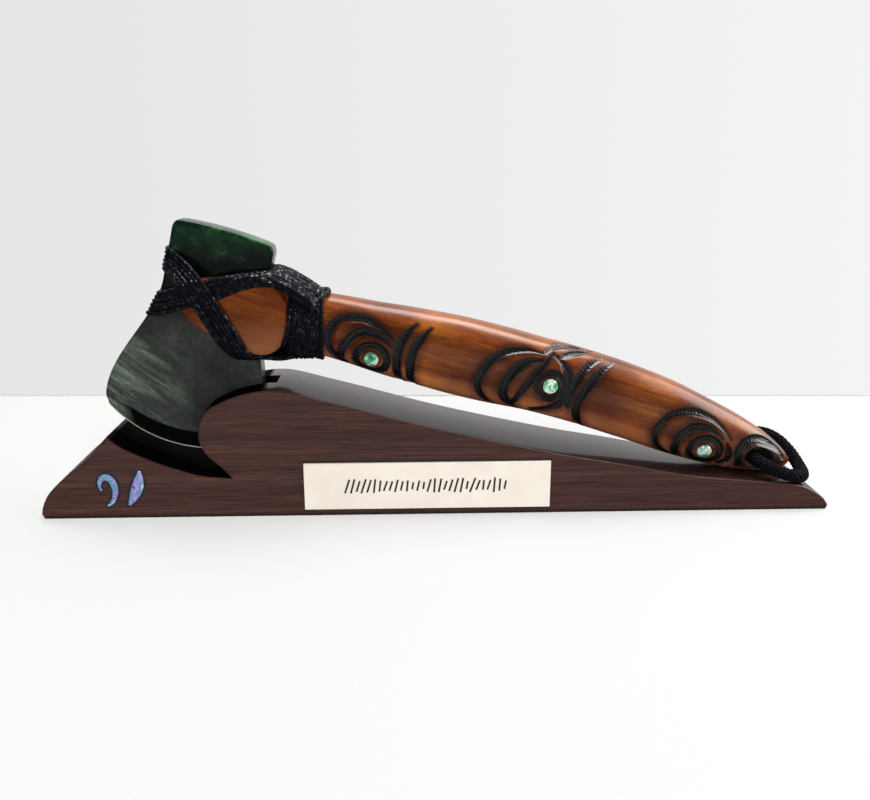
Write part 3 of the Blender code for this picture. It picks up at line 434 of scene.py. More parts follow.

# %% [markdown]
# ## Greenstone
# The stone is a polished jade: nearly black green in the body, moss green clouds near the poll,
# and pale milky feathers that run slantwise over the toe of the blade. Just above the fork it is
# painted near black as painted shade, the ground bevel is painted black as a painted reflection of
# the dark stand, and the very edge is a thin pale painted highlight.

# %% Greenstone
greenstone, tree, shader = new_material("greenstone")
place = object_place(tree)
x, y, z = split(tree, place)
clouds = noise(tree, place, 42.0, 6.0, 0.62, 0.5)
body = ramp(tree, clouds, (0.34, (0.0140, 0.0155, 0.0150)), (0.52, (0.0235, 0.0255, 0.0240)),
            (0.68, (0.0390, 0.0430, 0.0390)))
mossy = ramp(tree, clouds, (0.36, (0.002, 0.011, 0.006)), (0.47, (0.006, 0.030, 0.012)),
             (0.56, (0.060, 0.140, 0.032)))
level = maths(tree, "ADD", z, times(tree, x, 0.073))       # height along the leaning stone
level = maths(tree, "ADD", level, times(tree, clouds, 0.016))
# Painted shade: above the blade the stone turns near black, up to the moss green of the poll.
colour = mix(tree, remap(tree, level, 0.090, 0.102), body, (0.0015, 0.0030, 0.0020))
colour = mix(tree, remap(tree, level, 0.1205, 0.1290), colour, mossy)
feather_place = node(tree, "ShaderNodeMapping", {
    "Vector": place, "Rotation": (0.0, math.radians(36), 0.0),
    "Scale": (1 / 20, 1 / 20, 1 / 120)}, vector_type="TEXTURE").outputs[0]
feathers = remap(tree, noise(tree, feather_place, 1.0, 6.0, 0.7, 0.8), 0.48, 0.66)
toe = times(tree, remap(tree, x, -0.116, -0.150), remap(tree, z, 0.090, 0.078))
colour = mix(tree, times(tree, toe, 0.25), colour, (0.080, 0.098, 0.084))
colour = mix(tree, times(tree, times(tree, toe, feathers), 0.7), colour, (0.21, 0.29, 0.23))
grit = ramp(tree, noise(tree, place, 420.0, 3.0), (0.3, (0.8, 0.8, 0.8)),
            (0.7, (1.2, 1.22, 1.2)))
colour = mix(tree, 1.0, colour, grit, "MULTIPLY")
edge_gap = carried(tree, "edge_distance")
# Painted reflection: the ground bevel is painted near black, as the dark stand mirrored in it.
bevel = times(tree, remap(tree, edge_gap, 10.6, 9.8), remap(tree, x, -0.152, -0.148))
colour = mix(tree, bevel, colour, (0.0030, 0.0036, 0.0036))
# Painted highlight: a thin pale line along the very edge.
colour = mix(tree, remap(tree, edge_gap, 0.9, 0.4), colour, (0.55, 0.58, 0.44))
plug(tree, shader, {
    "Base Color": colour,
    "Roughness": remap(tree, clouds, 0.3, 0.7, 0.16, 0.24),
    "IOR": 1.45,
    "Specular IOR Level": 0.16,
    "Normal": bumps(tree, clouds, 0.05, 0.002)})
print("greenstone:", len(tree.nodes), "nodes")

# %% [markdown]
# ## Cords
# The lashing is waxed: black, rather glossy, with sparks of light where the wax catches. The
# wrist cord is a dull woven braid. Both read how far round and along the cord they are from an
# attribute that the sweeping tree below leaves on the mesh.


# %% Two black cords
def cord_material(name, colour, roughness, twist, gloss, sparkle):
    """A black cord: twist is in turns for each metre, sparkle how much brighter the wax is."""
    material, tree, shader = new_material(name)
    around, onward, _ = split(tree, carried(tree, "cord_uv", "Vector"))
    fleck = noise(tree, object_place(tree), 520.0, 3.0, 0.65)
    phase = maths(tree, "ADD", times(tree, onward, twist), times(tree, around, 2.0))
    wave = maths(tree, "SINE", times(tree, phase, math.tau))
    height = maths(tree, "ADD", times(tree, wave, 0.35), fleck)
    spark = remap(tree, fleck, 0.55, 0.61)
    plug(tree, shader, {
        "Base Color": ramp(tree, fleck, (0.35, colour), (0.72, [2.4 * c for c in colour])),
        "Roughness": remap(tree, spark, 0.0, 1.0, roughness, roughness - sparkle),
        "Specular IOR Level": remap(tree, spark, 0.0, 1.0, gloss, gloss + 2 * sparkle),
        "Normal": bumps(tree, height, 0.55, 0.0004)})
    return material


waxed_cord = cord_material("waxed_cord", (0.0025, 0.0026, 0.0045), 0.42, 420.0, 0.07, 0.32)
braided_cord = cord_material("braided_cord", (0.003, 0.0032, 0.0044), 0.7, 900.0, 0.03, 0.02)
print("cords:", waxed_cord.name, "and", braided_cord.name)

# %% [markdown]
# ## Shell and plate
# The shell is a slice of abalone: bands of green, blue and lilac that bend like contour lines,
# under a glassy polish. The plate is a plain ivory sheet, faintly clouded, and the glue lines and
# strokes are filled with a dull black.


# %% Shell, ivory and dark filler
def shell_material(name, *stops):
    """Polished shell with the colours of its layers."""
    material, tree, shader = new_material(name)
    layers = noise(tree, object_place(tree), 150.0, 2.5, 0.55, 1.6)
    plug(tree, shader, {
        "Base Color": ramp(tree, layers, *stops), "Normal": bumps(tree, layers, 0.12, 0.0004),
        "Roughness": 0.16, "Metallic": 0.35, "Coat Weight": 1.0, "Coat Roughness": 0.05})
    return material


def clouded_material(name, dark, light, scale, detail, roughness):
    """A plain finish, faintly clouded."""
    material, tree, shader = new_material(name)
    haze = noise(tree, object_place(tree), scale, detail)
    plug(tree, shader, {"Base Color": ramp(tree, haze, (0.3, dark), (0.7, light)),
                        "Roughness": roughness})
    return material


eye_shell = shell_material(
    "eye_shell", (0.30, (0.02, 0.16, 0.12)), (0.40, (0.14, 0.55, 0.28)),
    (0.46, (0.62, 0.95, 0.66)), (0.58, (0.82, 0.97, 0.92)), (0.66, (0.05, 0.34, 0.34)),
    (0.74, (0.70, 0.90, 0.88)))
inlay_shell = shell_material(
    "inlay_shell", (0.30, (0.07, 0.05, 0.24)), (0.40, (0.42, 0.38, 0.80)),
    (0.47, (0.16, 0.22, 0.58)), (0.53, (0.08, 0.40, 0.42)), (0.60, (0.66, 0.70, 0.92)),
    (0.70, (0.12, 0.48, 0.34)))
ivory = clouded_material("ivory_plate", (0.76, 0.71, 0.63), (0.82, 0.77, 0.70), 60.0, 3.0, 0.38)
dark_fill = clouded_material("dark_fill", (0.010, 0.009, 0.010), (0.022, 0.02, 0.02),
                             700.0, 2.0, 0.45)
print("materials:", len(bpy.data.materials))

# %% [markdown]
# ## A tree that sweeps cords
# Every cord is a curve with a round profile. One Geometry Nodes tree does the sweep for all of
# them: it takes the radius, the number of sides and how lumpy the cord is, and it keeps the
# place along and round the cord as an attribute. A modifier's inputs are set by identifier.

# %% Build the sweeping tree
sweep_tree, inlet, outlet, SWEEP_INPUTS = new_tree(
    "swept_cord", "GeometryNodeTree",
    (("Geometry", "NodeSocketGeometry", None), ("Radius", "NodeSocketFloat", 0.001),
     ("Sides", "NodeSocketInt", 8), ("Lumps", "NodeSocketFloat", 0.0),
     ("Lump Scale", "NodeSocketFloat", 900.0), ("Material", "NodeSocketMaterial", None)),
    (("Geometry", "NodeSocketGeometry"),))


def captured(geometry, value):
    """The geometry with a value kept on it, and that value."""
    made = node(sweep_tree, "GeometryNodeCaptureAttribute", {0: geometry})
    made.capture_items.new("FLOAT", "value")
    sweep_tree.links.new(value, made.inputs[1])
    return made.outputs[0], made.outputs[1]


def finish_tree(tree, geometry, inlet, outlet):
    """Ends a tree: the instances become real and get the material."""
    real = node(tree, "GeometryNodeRealizeInstances", {"Geometry": geometry}).outputs[0]
    plug(tree, outlet, {"Geometry": node(tree, "GeometryNodeSetMaterial", {
        "Geometry": real, "Material": inlet.outputs["Material"]}).outputs[0]})


spine_place = node(sweep_tree, "GeometryNodeSplineParameter")
rim_place = node(sweep_tree, "GeometryNodeSplineParameter")
circle = node(sweep_tree, "GeometryNodeCurvePrimitiveCircle", {
    "Resolution": inlet.outputs["Sides"], "Radius": inlet.outputs["Radius"]})
spine, spine_length = captured(inlet.outputs["Geometry"], spine_place.outputs["Length"])
rim, rim_factor = captured(circle.outputs["Curve"], rim_place.outputs["Factor"])
swept = node(sweep_tree, "GeometryNodeCurveToMesh", {
    "Curve": spine, "Profile Curve": rim, "Fill Caps": True})
uv = node(sweep_tree, "ShaderNodeCombineXYZ", {"X": rim_factor, "Y": spine_length})
kept = node(sweep_tree, "GeometryNodeStoreNamedAttribute", {
    "Geometry": swept.outputs[0], "Name": "cord_uv", "Value": uv.outputs[0]},
    data_type="FLOAT_VECTOR", domain="POINT")
position = node(sweep_tree, "GeometryNodeInputPosition").outputs[0]
lump = noise(sweep_tree, position, inlet.outputs["Lump Scale"], 2.0)
reach = times(sweep_tree, maths(sweep_tree, "SUBTRACT", lump, 0.5), inlet.outputs["Lumps"])
offset = node(sweep_tree, "ShaderNodeVectorMath", {
    0: node(sweep_tree, "GeometryNodeInputNormal").outputs[0], "Scale": reach}, operation="SCALE")
moved = node(sweep_tree, "GeometryNodeSetPosition", {
    "Geometry": kept.outputs[0], "Offset": offset.outputs[0]})
smoothed = node(sweep_tree, "GeometryNodeSetShadeSmooth", {"Geometry": moved.outputs[0]})
finish_tree(sweep_tree, smoothed.outputs[0], inlet, outlet)
print("sweeping tree:", len(sweep_tree.nodes), "nodes")


def sweep(name, paths, radius, material, sides=8, lumps=0.0, closed=False):
    """Sweeps a round cord of that radius along each path, all in millimetres."""
    curve = bpy.data.curves.new(name, "CURVE")
    curve.dimensions = "3D"
    for path in paths:
        spline = curve.splines.new("POLY")
        spline.points.add(len(path) - 1)
        spline.points.foreach_set("co", np.column_stack((path * MM, np.ones(len(path)))).ravel())
        spline.use_cyclic_u = closed
    thing = bpy.data.objects.new(name, curve)
    bpy.context.scene.collection.objects.link(thing)
    modifier = thing.modifiers.new("sweep", "NODES")
    modifier.node_group = sweep_tree
    for label, value in (("Radius", radius * MM), ("Sides", sides), ("Lumps", lumps * MM),
                         ("Material", material)):
        modifier[SWEEP_INPUTS[label]] = value
    return applied(thing)


# %% [markdown]
# ## Wrist cord
# A loop of 6 mm braid goes through a hole near the butt and lies round the end of the handle.
# A braid is two families of strands that wind opposite ways and swing over and under each other
# in step. Each strand's path is computed from the loop's centreline, and the tree sweeps them.

# %% Braid the wrist cord
CORD_RADIUS, CORE_RADIUS = 3.25, 2.63    # of the braid, and of the core under its strands
STRANDS, STRAND_RADIUS = 6, 0.72         # in each of the two families
BRAID_PITCH = 15.0
SINK, SWING = 0.30, 0.34                 # how deep the strands lie, and how far they weave
ROUTE = (
    (155.9, -1.0, 22.7), (155.9, -7.0, 22.7), (156.4, -12.8, 22.3), (159.4, -16.3, 20.9),
    (163.8, -18.3, 18.9), (168.6, -19.5, 17.2), (173.6, -19.2, 16.2), (178.2, -15.8, 14.9),
    (181.2, -8.8, 14.9), (182.0, -1.4, 16.4), (181.6, 5.0, 18.8), (180.2, 10.2, 21.2),
    (177.6, 14.2, 23.8), (173.6, 16.9, 25.9), (168.8, 18.0, 27.0), (163.4, 17.9, 26.8),
    (158.8, 16.2, 25.2), (156.3, 12.8, 23.2), (155.9, 7.0, 22.7), (155.9, 1.0, 22.7))
centreline = smooth_curve(ROUTE, 320)
tangents = unit(np.gradient(centreline, axis=0))
side = np.cross(tangents[0], (0.0, 0.0, 1.0))
sides_out, ups = [], []
for tangent in tangents:
    side = unit(side - tangent * side.dot(tangent))
    sides_out.append(side)
    ups.append(np.cross(tangent, side))
sides_out, ups = np.array(sides_out), np.array(ups)
distance = lengths_along(centreline)
strand_paths = []
for turning in (1, -1):
    for strand in range(STRANDS):
        angle = math.tau * (strand / STRANDS + turning * distance / BRAID_PITCH)
        swing = turning * SWING * np.cos(math.tau * STRANDS * distance / BRAID_PITCH)
        out = (CORD_RADIUS - STRAND_RADIUS - SINK + swing)[:, None]
        strand_paths.append(centreline + out * (np.cos(angle)[:, None] * sides_out
                                                + np.sin(angle)[:, None] * ups))
wrist_cord = sweep("wrist_cord_braid", strand_paths, STRAND_RADIUS, braided_cord, sides=6)
core = sweep("braid_core", [centreline], CORE_RADIUS, braided_cord, sides=12)
placed(joined(wrist_cord, core), "black_cord", "wrist_cord")

# %% [markdown]
# ## Handle: its form
# The handle was cut from one timber: a fork whose two cheeks hold the stone, a waisted neck, a
# full grip that bends down, and a tapered butt. Measured sections along the grip, each a squarish
# ellipse, are joined by smooth curves. The fine mesh is a grid over that surface, with more
# points on the front, where the carving is seen best.

# %% Sections of the grip
AXE_PLACE = np.array((-118.89, 93.29))   # fork's open end, middle of the fork
SQUARENESS = 2.3
GRIP_HEIGHT, GRIP_DEPTH = 39.5, 29.6
# Plan X, middle height, and the shares of the height and of the depth
SECTIONS = np.array((
    (47.1, -0.5, 0.72, 0.81), (67.1, -4.8, 0.785, 0.85), (90.6, -10.9, 0.88, 0.96),
    (129.1, -20.2, 1.0, 1.0), (169.1, -30.1, 0.965, 1.0), (210.1, -43.0, 0.98, 0.965),
    (239.1, -53.9, 0.93, 0.92), (259.1, -61.5, 0.79, 0.85), (274.1, -66.7, 0.62, 0.745),
    (285.1, -70.8, 0.43, 0.58), (293.1, -74.2, 0.215, 0.35), (296.4, -75.3, 0.05, 0.08)))
GRIP_START, GRIP_END = SECTIONS[0, 0], SECTIONS[-1, 0]
SECTION_SLOPES = np.gradient(SECTIONS[:, 1:], SECTIONS[:, 0], axis=0)


def section(x):
    """Middle height, half height and half depth of the grip at plan X."""
    x = np.asarray(x, float)
    i = np.clip(np.searchsorted(SECTIONS[:, 0], x) - 1, 0, len(SECTIONS) - 2)
    span = SECTIONS[i + 1, 0] - SECTIONS[i, 0]
    t = np.clip((x - SECTIONS[i, 0]) / span, 0, 1)[..., None]
    row = hermite(t, span[..., None], SECTIONS[i, 1:], SECTION_SLOPES[i], SECTIONS[i + 1, 1:],
                  SECTION_SLOPES[i + 1])
    return row[..., 0], row[..., 1] * GRIP_HEIGHT / 2, row[..., 2] * GRIP_DEPTH / 2


def signed_power(value, power):
    """A power that keeps the sign, which makes an ellipse squarish."""
    return np.sign(value) * np.abs(value) ** power


def grip_point(x, degrees, side=-1.0, grow=0.0):
    """Point on the grip: plan X, degrees up from the side line, front (-1) or back (1)."""
    middle, half_height, half_depth = section(x)
    turn = np.radians(degrees)
    z = middle + (half_height + grow) * signed_power(np.sin(turn), 2 / SQUARENESS)
    y = side * (half_depth + grow) * signed_power(np.cos(turn), 2 / SQUARENESS)
    return np.stack(np.broadcast_arrays(AXE_PLACE[0] + x, y, AXE_PLACE[1] + z), axis=-1)


print(f"the grip is {GRIP_END - GRIP_START:.1f} mm long")

# %% Grid over the grip
# Plan X where a run of stations starts, and their number: more of them where it is carved
STATION_RUNS = ((GRIP_START, 13), (63, 107), (119, 15), (133, 141), (207, 15), (221, 133),
                (291, 15), (GRIP_END, 1))
stations = np.concatenate([
    np.linspace(start, end, count, endpoint=False)
    for (start, count), (end, _) in zip(STATION_RUNS, STATION_RUNS[1:])] + [[GRIP_END]])
USUAL_STATION = 170.0                    # its section stands for all in spacing the angles


def even_degrees(count, start, end):
    """Angles that are an even step apart round a usual section."""
    fine = np.linspace(start, end, 721)
    run = lengths_along(grip_point(USUAL_STATION, fine))
    return np.interp(np.linspace(0, run[-1], count + 1), run, fine)[:-1]


angles = np.concatenate((even_degrees(126, -90, 90), even_degrees(82, 90, 270)))
X, A = np.meshgrid(stations, angles, indexing="ij")
grip = grip_point(X, A)
lengthwise = np.gradient(grip, axis=0)
ringwise = np.roll(grip, -1, axis=1) - np.roll(grip, 1, axis=1)
normals = np.cross(ringwise, lengthwise)
normals /= np.maximum(np.linalg.norm(normals, axis=2), 1e-9)[..., None]
middle_line = grip.mean(axis=1, keepdims=True)
normals *= np.sign(np.sum(normals * (grip - middle_line), axis=2).mean())
print("grip grid:", grip.shape[:2])

# %% [markdown]
# ## Handle: its carving
# Each motif is a shell eye with crescents and hooks round it, cut with a gouge in short bites.
# A stroke is a curve on the surface. For every vertex the distance to the stroke and the place
# along it give the depth: a rounded groove, with a notched rim and a facet for each bite.

# %% Strokes of the three motifs
EYES = {"first": (86.3, -30.5), "middle": (171.5, -3.0), "last": (249.1, -28.5)}
RINGS = {"first": (7.6, 3.6), "middle": (6.7, 2.8), "last": (7.6, 3.5)}   # radius and width
PLAIN_SIDE_WIDTH = 3.2                   # the back repeats only the wide strokes
# Eye, width, shares of the width at the start and the end, then plan X from the eye and degrees
STROKES = (
    ("first", 3.5, (0.9, 0.35), ((-12.6, -66), (-16.4, -50), (-19.8, -28), (-19.3, -2), (-15.1, 18),
                                 (-9.1, 30), (-2.1, 33), (4.4, 25), (9.5, 13), (12.7, 1))),
    ("first", 4.5, (0.8, 0.35), ((-14.6, -50), (-14.0, -32), (-11.8, -13), (-7.6, 2), (-1.9, 11),
                                 (4.3, 10), (10.2, 0))),
    ("first", 4.3, (0.3, 1.0), ((22.1, 40), (16.9, 21), (13.4, 0), (12.0, -20), (12.5, -49),
                                (14.0, -70))),
    ("first", 4.3, (0.3, 1.0), ((28.6, 37), (23.4, 16), (19.8, 0), (18.4, -21), (18.8, -54),
                                (20.2, -72))),
    ("middle", 3.7, (0.35, 0.9), ((-2.9, 40), (-10.6, 39), (-18.4, 31), (-24.6, 20), (-30.0, 6),
                                  (-34.0, -11), (-34.8, -31), (-28.4, -67))),
    ("middle", 4.6, (0.4, 1.0), ((-3.2, 29), (-10.4, 21), (-16.9, 6), (-21.3, -9), (-22.8, -31),
                                 (-18.0, -60))),
    ("middle", 3.2, (0.5, 0.8), ((1.4, 45), (-3.6, 20), (-9.7, -2), (-14.6, -25), (-18.3, -54))),
    ("middle", 4.0, (0.4, 0.6), ((2.9, 42), (6.5, 31), (8.9, 14), (8.4, -3), (5.2, -23),
                                 (-1.0, -43), (-8.0, -57))),
    ("middle", 2.4, (0.7, 0.3), ((-1.9, 45), (1.4, 58), (5.8, 70), (11.3, 79), (22.0, 84))),
    ("middle", 2.8, (0.5, 0.3), ((4.2, 38), (7.9, 50), (12.8, 62), (19.9, 74))),
    ("middle", 3.5, (0.35, 0.8), ((25.1, 64), (18.3, 39), (13.3, 15), (10.3, -3), (8.8, -26))),
    ("middle", 4.0, (0.35, 1.0), ((30.5, 62), (23.6, 32), (18.2, 9), (14.1, -9), (12.8, -31),
                                  (14.3, -52), (16.3, -70))),
    ("last", 3.3, (0.9, 0.35), ((-16.6, -72), (-23.0, -54), (-25.4, -20), (-20.7, 2), (-13.5, 18),
                                (-5.4, 29), (2.2, 30), (8.4, 20), (12.8, 5))),
    ("last", 4.2, (0.9, 0.35), ((-12.8, -66), (-14.8, -36), (-11.9, -9), (-5.4, 5), (2.2, 10),
                                (8.5, 2))),
    ("last", 3.0, (0.4, 0.8), ((10.8, -2), (12.2, -18), (11.6, -36), (8.0, -54))),
    ("last", 4.4, (0.9, 0.5), ((18.6, -50), (16.9, -17), (18.9, 4), (24.1, 23), (31.0, 37),
                               (37.5, 38), (41.6, 14))),
)
print(len(STROKES), "strokes on the front,",
      sum(width >= PLAIN_SIDE_WIDTH for _, width, _, _ in STROKES), "of them behind")

# %% [markdown]
# A cut lowers the vertices near it, stains them black and darkens the lacquer a little way round.
# Each bite of the gouge goes deeper until the next one starts, and one side of the cut ends in a
# shallow ledge.

# %% Cut the strokes
GROOVE_DEPTH, LEDGE_DEPTH = 1.25, 0.78
BITE = 1.9                               # length of one bite of the gouge
depth, stain, glaze = np.zeros(X.shape), np.zeros(X.shape), np.zeros(X.shape)
facing = {-1.0: np.cos(np.radians(A)) >= 0, 1.0: np.cos(np.radians(A)) < 0}


def cut_in(near, u, mark, hand, size, seed):
    """Lowers and stains the vertices near a cut; u is the distance in half widths."""
    bite = (mark + 0.5 * wavy(seed, mark, 3.0)) / BITE
    saw = bite - np.floor(bite)
    u = u / (1.0 + np.where(hand > 0, 0.20, 0.07) * (0.55 - saw) + 0.04 * wavy(seed + 7, mark, 1.1))
    groove = GROOVE_DEPTH * size * np.clip(1 - u**2.6, 0, 1) * (0.74 + 0.42 * saw)
    ledge = np.where(hand < 0, LEDGE_DEPTH * size * ease((1.9 - u) / 0.85), 0)
    glaze[near] = np.maximum(glaze[near], ease((3.4 - u) / 2.2))
    depth[near] = np.maximum(depth[near], np.maximum(groove, ledge))
    stain[near] = np.maximum(stain[near], ease((1.10 - u) / 0.15))


def carve(path, width, ends, side, seed):
    """Cuts one stroke along a path on the surface."""
    low, high = path.min(axis=0) - 1.8 * width, path.max(axis=0) + 1.8 * width
    near = np.all((grip > low) & (grip < high), axis=2) & facing[side]
    places = grip[near]
    gaps = np.linalg.norm(places[:, None] - path[None], axis=2)
    nearest = gaps.argmin(axis=1)
    gap = gaps[np.arange(len(places)), nearest]
    run = lengths_along(path)
    share = run[nearest] / run[-1]
    step = np.gradient(path, axis=0)[nearest]
    hand = np.sign(np.sum(np.cross(step, places - path[nearest]) * normals[near], axis=1)) * side
    size = np.minimum(ends[0] + (1 - ends[0]) * ease(share / 0.3),
                      ends[1] + (1 - ends[1]) * ease((1 - share) / 0.4))
    cut_in(near, gap / (width / 2 * size), run[nearest] + 0.3 * hand * gap, -hand, size, seed)


for side in (-1.0, 1.0):
    for number, (eye, width, ends, stroke) in enumerate(STROKES):
        if side < 0 or width >= PLAIN_SIDE_WIDTH:
            plan = smooth_curve([(EYES[eye][0] + x, degrees) for x, degrees in stroke], 120)
            carve(grip_point(plan[:, 0], plan[:, 1], side), width, ends, side, number)
    for number, (eye, (radius, width)) in enumerate(RINGS.items()):
        centre = grip_point(*EYES[eye], side)
        gap = np.linalg.norm(grip - centre, axis=2)
        near = (gap < radius + 1.8 * width) & facing[side]
        turn = np.arctan2(grip[..., 2] - centre[2], grip[..., 0] - centre[0])[near]
        offset = gap[near] - radius
        cut_in(near, np.abs(offset) / (width / 2), turn * radius + 20 * math.pi,
               np.sign(offset), 1.0, 40 + number)
print(f"deepest cut {depth.max():.2f} mm, {np.mean(stain > 0.5):.0%} of the grip is stained")

# %% [markdown]
# The eyes sit in round pockets, and the cord's hole opens in a dark dish inside the last hook.

# %% Pockets, the cord's hole and the finished grid
HOLE = (156.11, 22.69)                   # world X and Z of the cord's hole
DISC_RADIUS, POCKET_DEPTH = 3.7, 1.9
DISH_SHIFT, DISH_REACH, DISH_SLANT = (2.6, -0.6), (8.0, 5.9), math.radians(-17)
DISH_DEPTH, WELL_DEPTH = 1.5, 6.5
for eye, (x, degrees) in EYES.items():
    gap = np.linalg.norm(grip - grip_point(x, degrees), axis=2)
    depth = np.where(gap < DISC_RADIUS + 0.25, POCKET_DEPTH, depth)
    stain = np.maximum(stain, ease((DISC_RADIUS + 0.75 - gap) / 0.35) * 0.8)
hole_gap = np.hypot(grip[..., 0] - HOLE[0], grip[..., 2] - HOLE[1])
dx = grip[..., 0] - HOLE[0] - DISH_SHIFT[0]
dz = grip[..., 2] - HOLE[1] - DISH_SHIFT[1]
dish_gap = np.hypot((dx * math.cos(DISH_SLANT) + dz * math.sin(DISH_SLANT)) / DISH_REACH[0],
                    (dz * math.cos(DISH_SLANT) - dx * math.sin(DISH_SLANT)) / DISH_REACH[1])
dish = DISH_DEPTH * np.clip(1 - dish_gap**2.4, 0, 1)
well = WELL_DEPTH * ease((3.7 - hole_gap) / 0.5)
depth = np.maximum(depth, np.maximum(dish, well))
stain = np.maximum(stain, ease((1.0 - dish_gap) / 0.08))
stain = np.maximum(stain, 0.72 * ease((2.1 - dish_gap) / 0.7))
hand_worked = 0.06 * np.sin(X / 5.1 + 1.3 * np.sin(A / 31.0)) * np.cos(A / 19.0 + X / 23.0)
BARE_FROM = 66                           # plan X where the lashing ends and the hand begins
surface = grip - normals * (depth + hand_worked * (X > BARE_FROM))[..., None]
print(f"dish and well reach {depth.max():.1f} mm deep")

# %% [markdown]
# The slots of the fork and of the stand follow the stone, so its outline comes first. The sides
# flare towards a bowed cutting edge, and the poll is slightly crowned.

# %% Stone's outline in the head's own directions
HEAD_LENGTH = 108.0
HALF_POLL = 47.4 / 2
TOE_FLARE, HEEL_FLARE = 17.6, 12.8
EDGE_CURVE = 12.5
HALF_STONE = 7.0                         # half of its thickness
CORNER_AT = 0.824 * HEAD_LENGTH          # where the sides end and the edge's corners begin
HEAD_LEAN = math.radians(13.8)
SEAT = np.array((-84.49, 91.59))         # where the stone's back sits in the fork's crotch


def from_head(along, across):
    """World X and Z of a place on the head: along from poll to edge, across towards the haft."""
    a, c = np.asarray(along) - HEAD_LENGTH / 3, np.asarray(across) - HALF_POLL
    return np.stack((SEAT[0] - math.sin(HEAD_LEAN) * a + math.cos(HEAD_LEAN) * c,
                     SEAT[1] - math.cos(HEAD_LEAN) * a - math.sin(HEAD_LEAN) * c), axis=-1)


def back_side(share):
    """How far across the head its heel's side lies, at a share of its length."""
    return HALF_POLL + HEEL_FLARE * ease((share - 0.296) / 0.583)


def front_side(share):
    """The same for the toe's side."""
    return -HALF_POLL - TOE_FLARE * ease((share - 0.241) / 0.537)


def poll_crown(share):
    """How far along the head the poll lies, at a share of its half width."""
    return 3.2 * np.abs(share) ** 26 - 1.5 * (1 - share**2) - 0.8 + share


CORNER = 1.5
HEEL, TOE = HALF_POLL + HEEL_FLARE, -HALF_POLL - TOE_FLARE
HALF_EDGE = (HEEL - TOE) / 2 - CORNER
BOW_RADIUS = (HALF_EDGE**2 + EDGE_CURVE**2) / (2 * EDGE_CURVE)


def edge_along(across):
    """How far along the head the cutting edge lies."""
    offset = np.clip(np.asarray(across) - (HEEL + TOE) / 2, -HALF_EDGE, HALF_EDGE)
    bow = np.sqrt(BOW_RADIUS**2 - offset**2)
    return HEAD_LENGTH - EDGE_CURVE - CORNER + bow - (BOW_RADIUS - EDGE_CURVE)


share = np.linspace(0.05, 0.80, 50)
edge_across = np.linspace(HEEL - CORNER, TOE + CORNER, 90)
poll_share = np.concatenate((np.linspace(-1, -0.9, 10), np.linspace(-0.86, 0.86, 40),
                             np.linspace(0.9, 1, 10)))
head_rows = np.vstack((
    np.column_stack((share * HEAD_LENGTH, back_side(share))),
    [(CORNER_AT, HEEL)],
    np.column_stack((edge_along(edge_across), edge_across)),
    [(CORNER_AT, TOE)],
    np.column_stack((share * HEAD_LENGTH, front_side(share)))[::-1],
    np.column_stack((poll_crown(poll_share), poll_share * HALF_POLL))))
stone_outline = from_head(head_rows[:, 0], head_rows[:, 1])[::-1]
print(f"outline of the stone: {len(stone_outline)} points, "
      f"{np.ptp(stone_outline[:, 0]):.1f} x {np.ptp(stone_outline[:, 1]):.1f} mm")

# %% [markdown]
# Flat solids come from one helper. It carries an outline through the depth and shrinks it level
# by level at both ends, so that the rims are rounded over. Another helper cuts one solid from a
# second with a Boolean.


# %% Solids from outlines
AIR, SLOT_HALF = 0.3, 7.3                # room round the stone, and half the width of its slots


def outline_normals(outline):
    """Outward directions of a closed outline that runs anticlockwise."""
    edges = unit(np.roll(outline, -1, axis=0) - outline)
    out = np.column_stack((edges[:, 1], -edges[:, 0]))
    miter = out + np.roll(out, 1, axis=0)
    length = np.linalg.norm(miter, axis=1)
    return miter / length[:, None] / np.maximum(length / 2, 0.6)[:, None]


def grown(outline, amount):
    """An outline moved outwards."""
    return outline + outline_normals(outline) * amount


def prism(name, outline, low, high, rounding=0.0, steps=5, materials=()):
    """An outline in X and Z carried through Y, its rims rounded over."""
    levels = [(low, outline), (high, outline)]
    if rounding:
        turn = np.linspace(0, math.pi / 2, steps + 1)
        rim = [(rounding * (1 - math.sin(t)), grown(outline, -rounding * (1 - math.cos(t))))
               for t in turn] + [(0.0, grown(outline, -rounding - 0.4))]
        levels = [(low + y, ring) for y, ring in rim[::-1]] + [(high - y, ring) for y, ring in rim]
    verts = [(x, y, z) for y, ring in levels for x, z in ring]
    return outward(add_mesh(name, verts, ring_faces(len(levels), len(outline)), materials))


def cut(thing, cutter):
    """Subtracts one solid from another for good."""
    modifier = thing.modifiers.new("cut", "BOOLEAN")
    modifier.operation, modifier.solver, modifier.object = "DIFFERENCE", "EXACT", cutter
    thing = applied(thing)
    thing.data.set_sharp_from_angle(angle=math.radians(SHARP_ANGLE))
    bpy.data.objects.remove(cutter, do_unlink=True)
    return thing


def stone_slot(name):
    """A cutter with the stone's outline and a little air."""
    return prism(name, grown(stone_outline[::2], AIR), -SLOT_HALF, SLOT_HALF)


# %% [markdown]
# The fork is a block with a flat top and a rounded end at the neck, its rims eased, and a slot
# cut for the stone with the stone's own outline. Joined to the grip it makes the whole handle.


# %% Fork, slot and the whole handle
def painted_shading_at(rise):
    """Painted light and shade, from how far a place lies above or below the middle line."""
    return 0.70 + 1.3 * ease((-rise - 0.15) / 0.6) + 0.45 * ease((rise - 0.3) / 0.5)


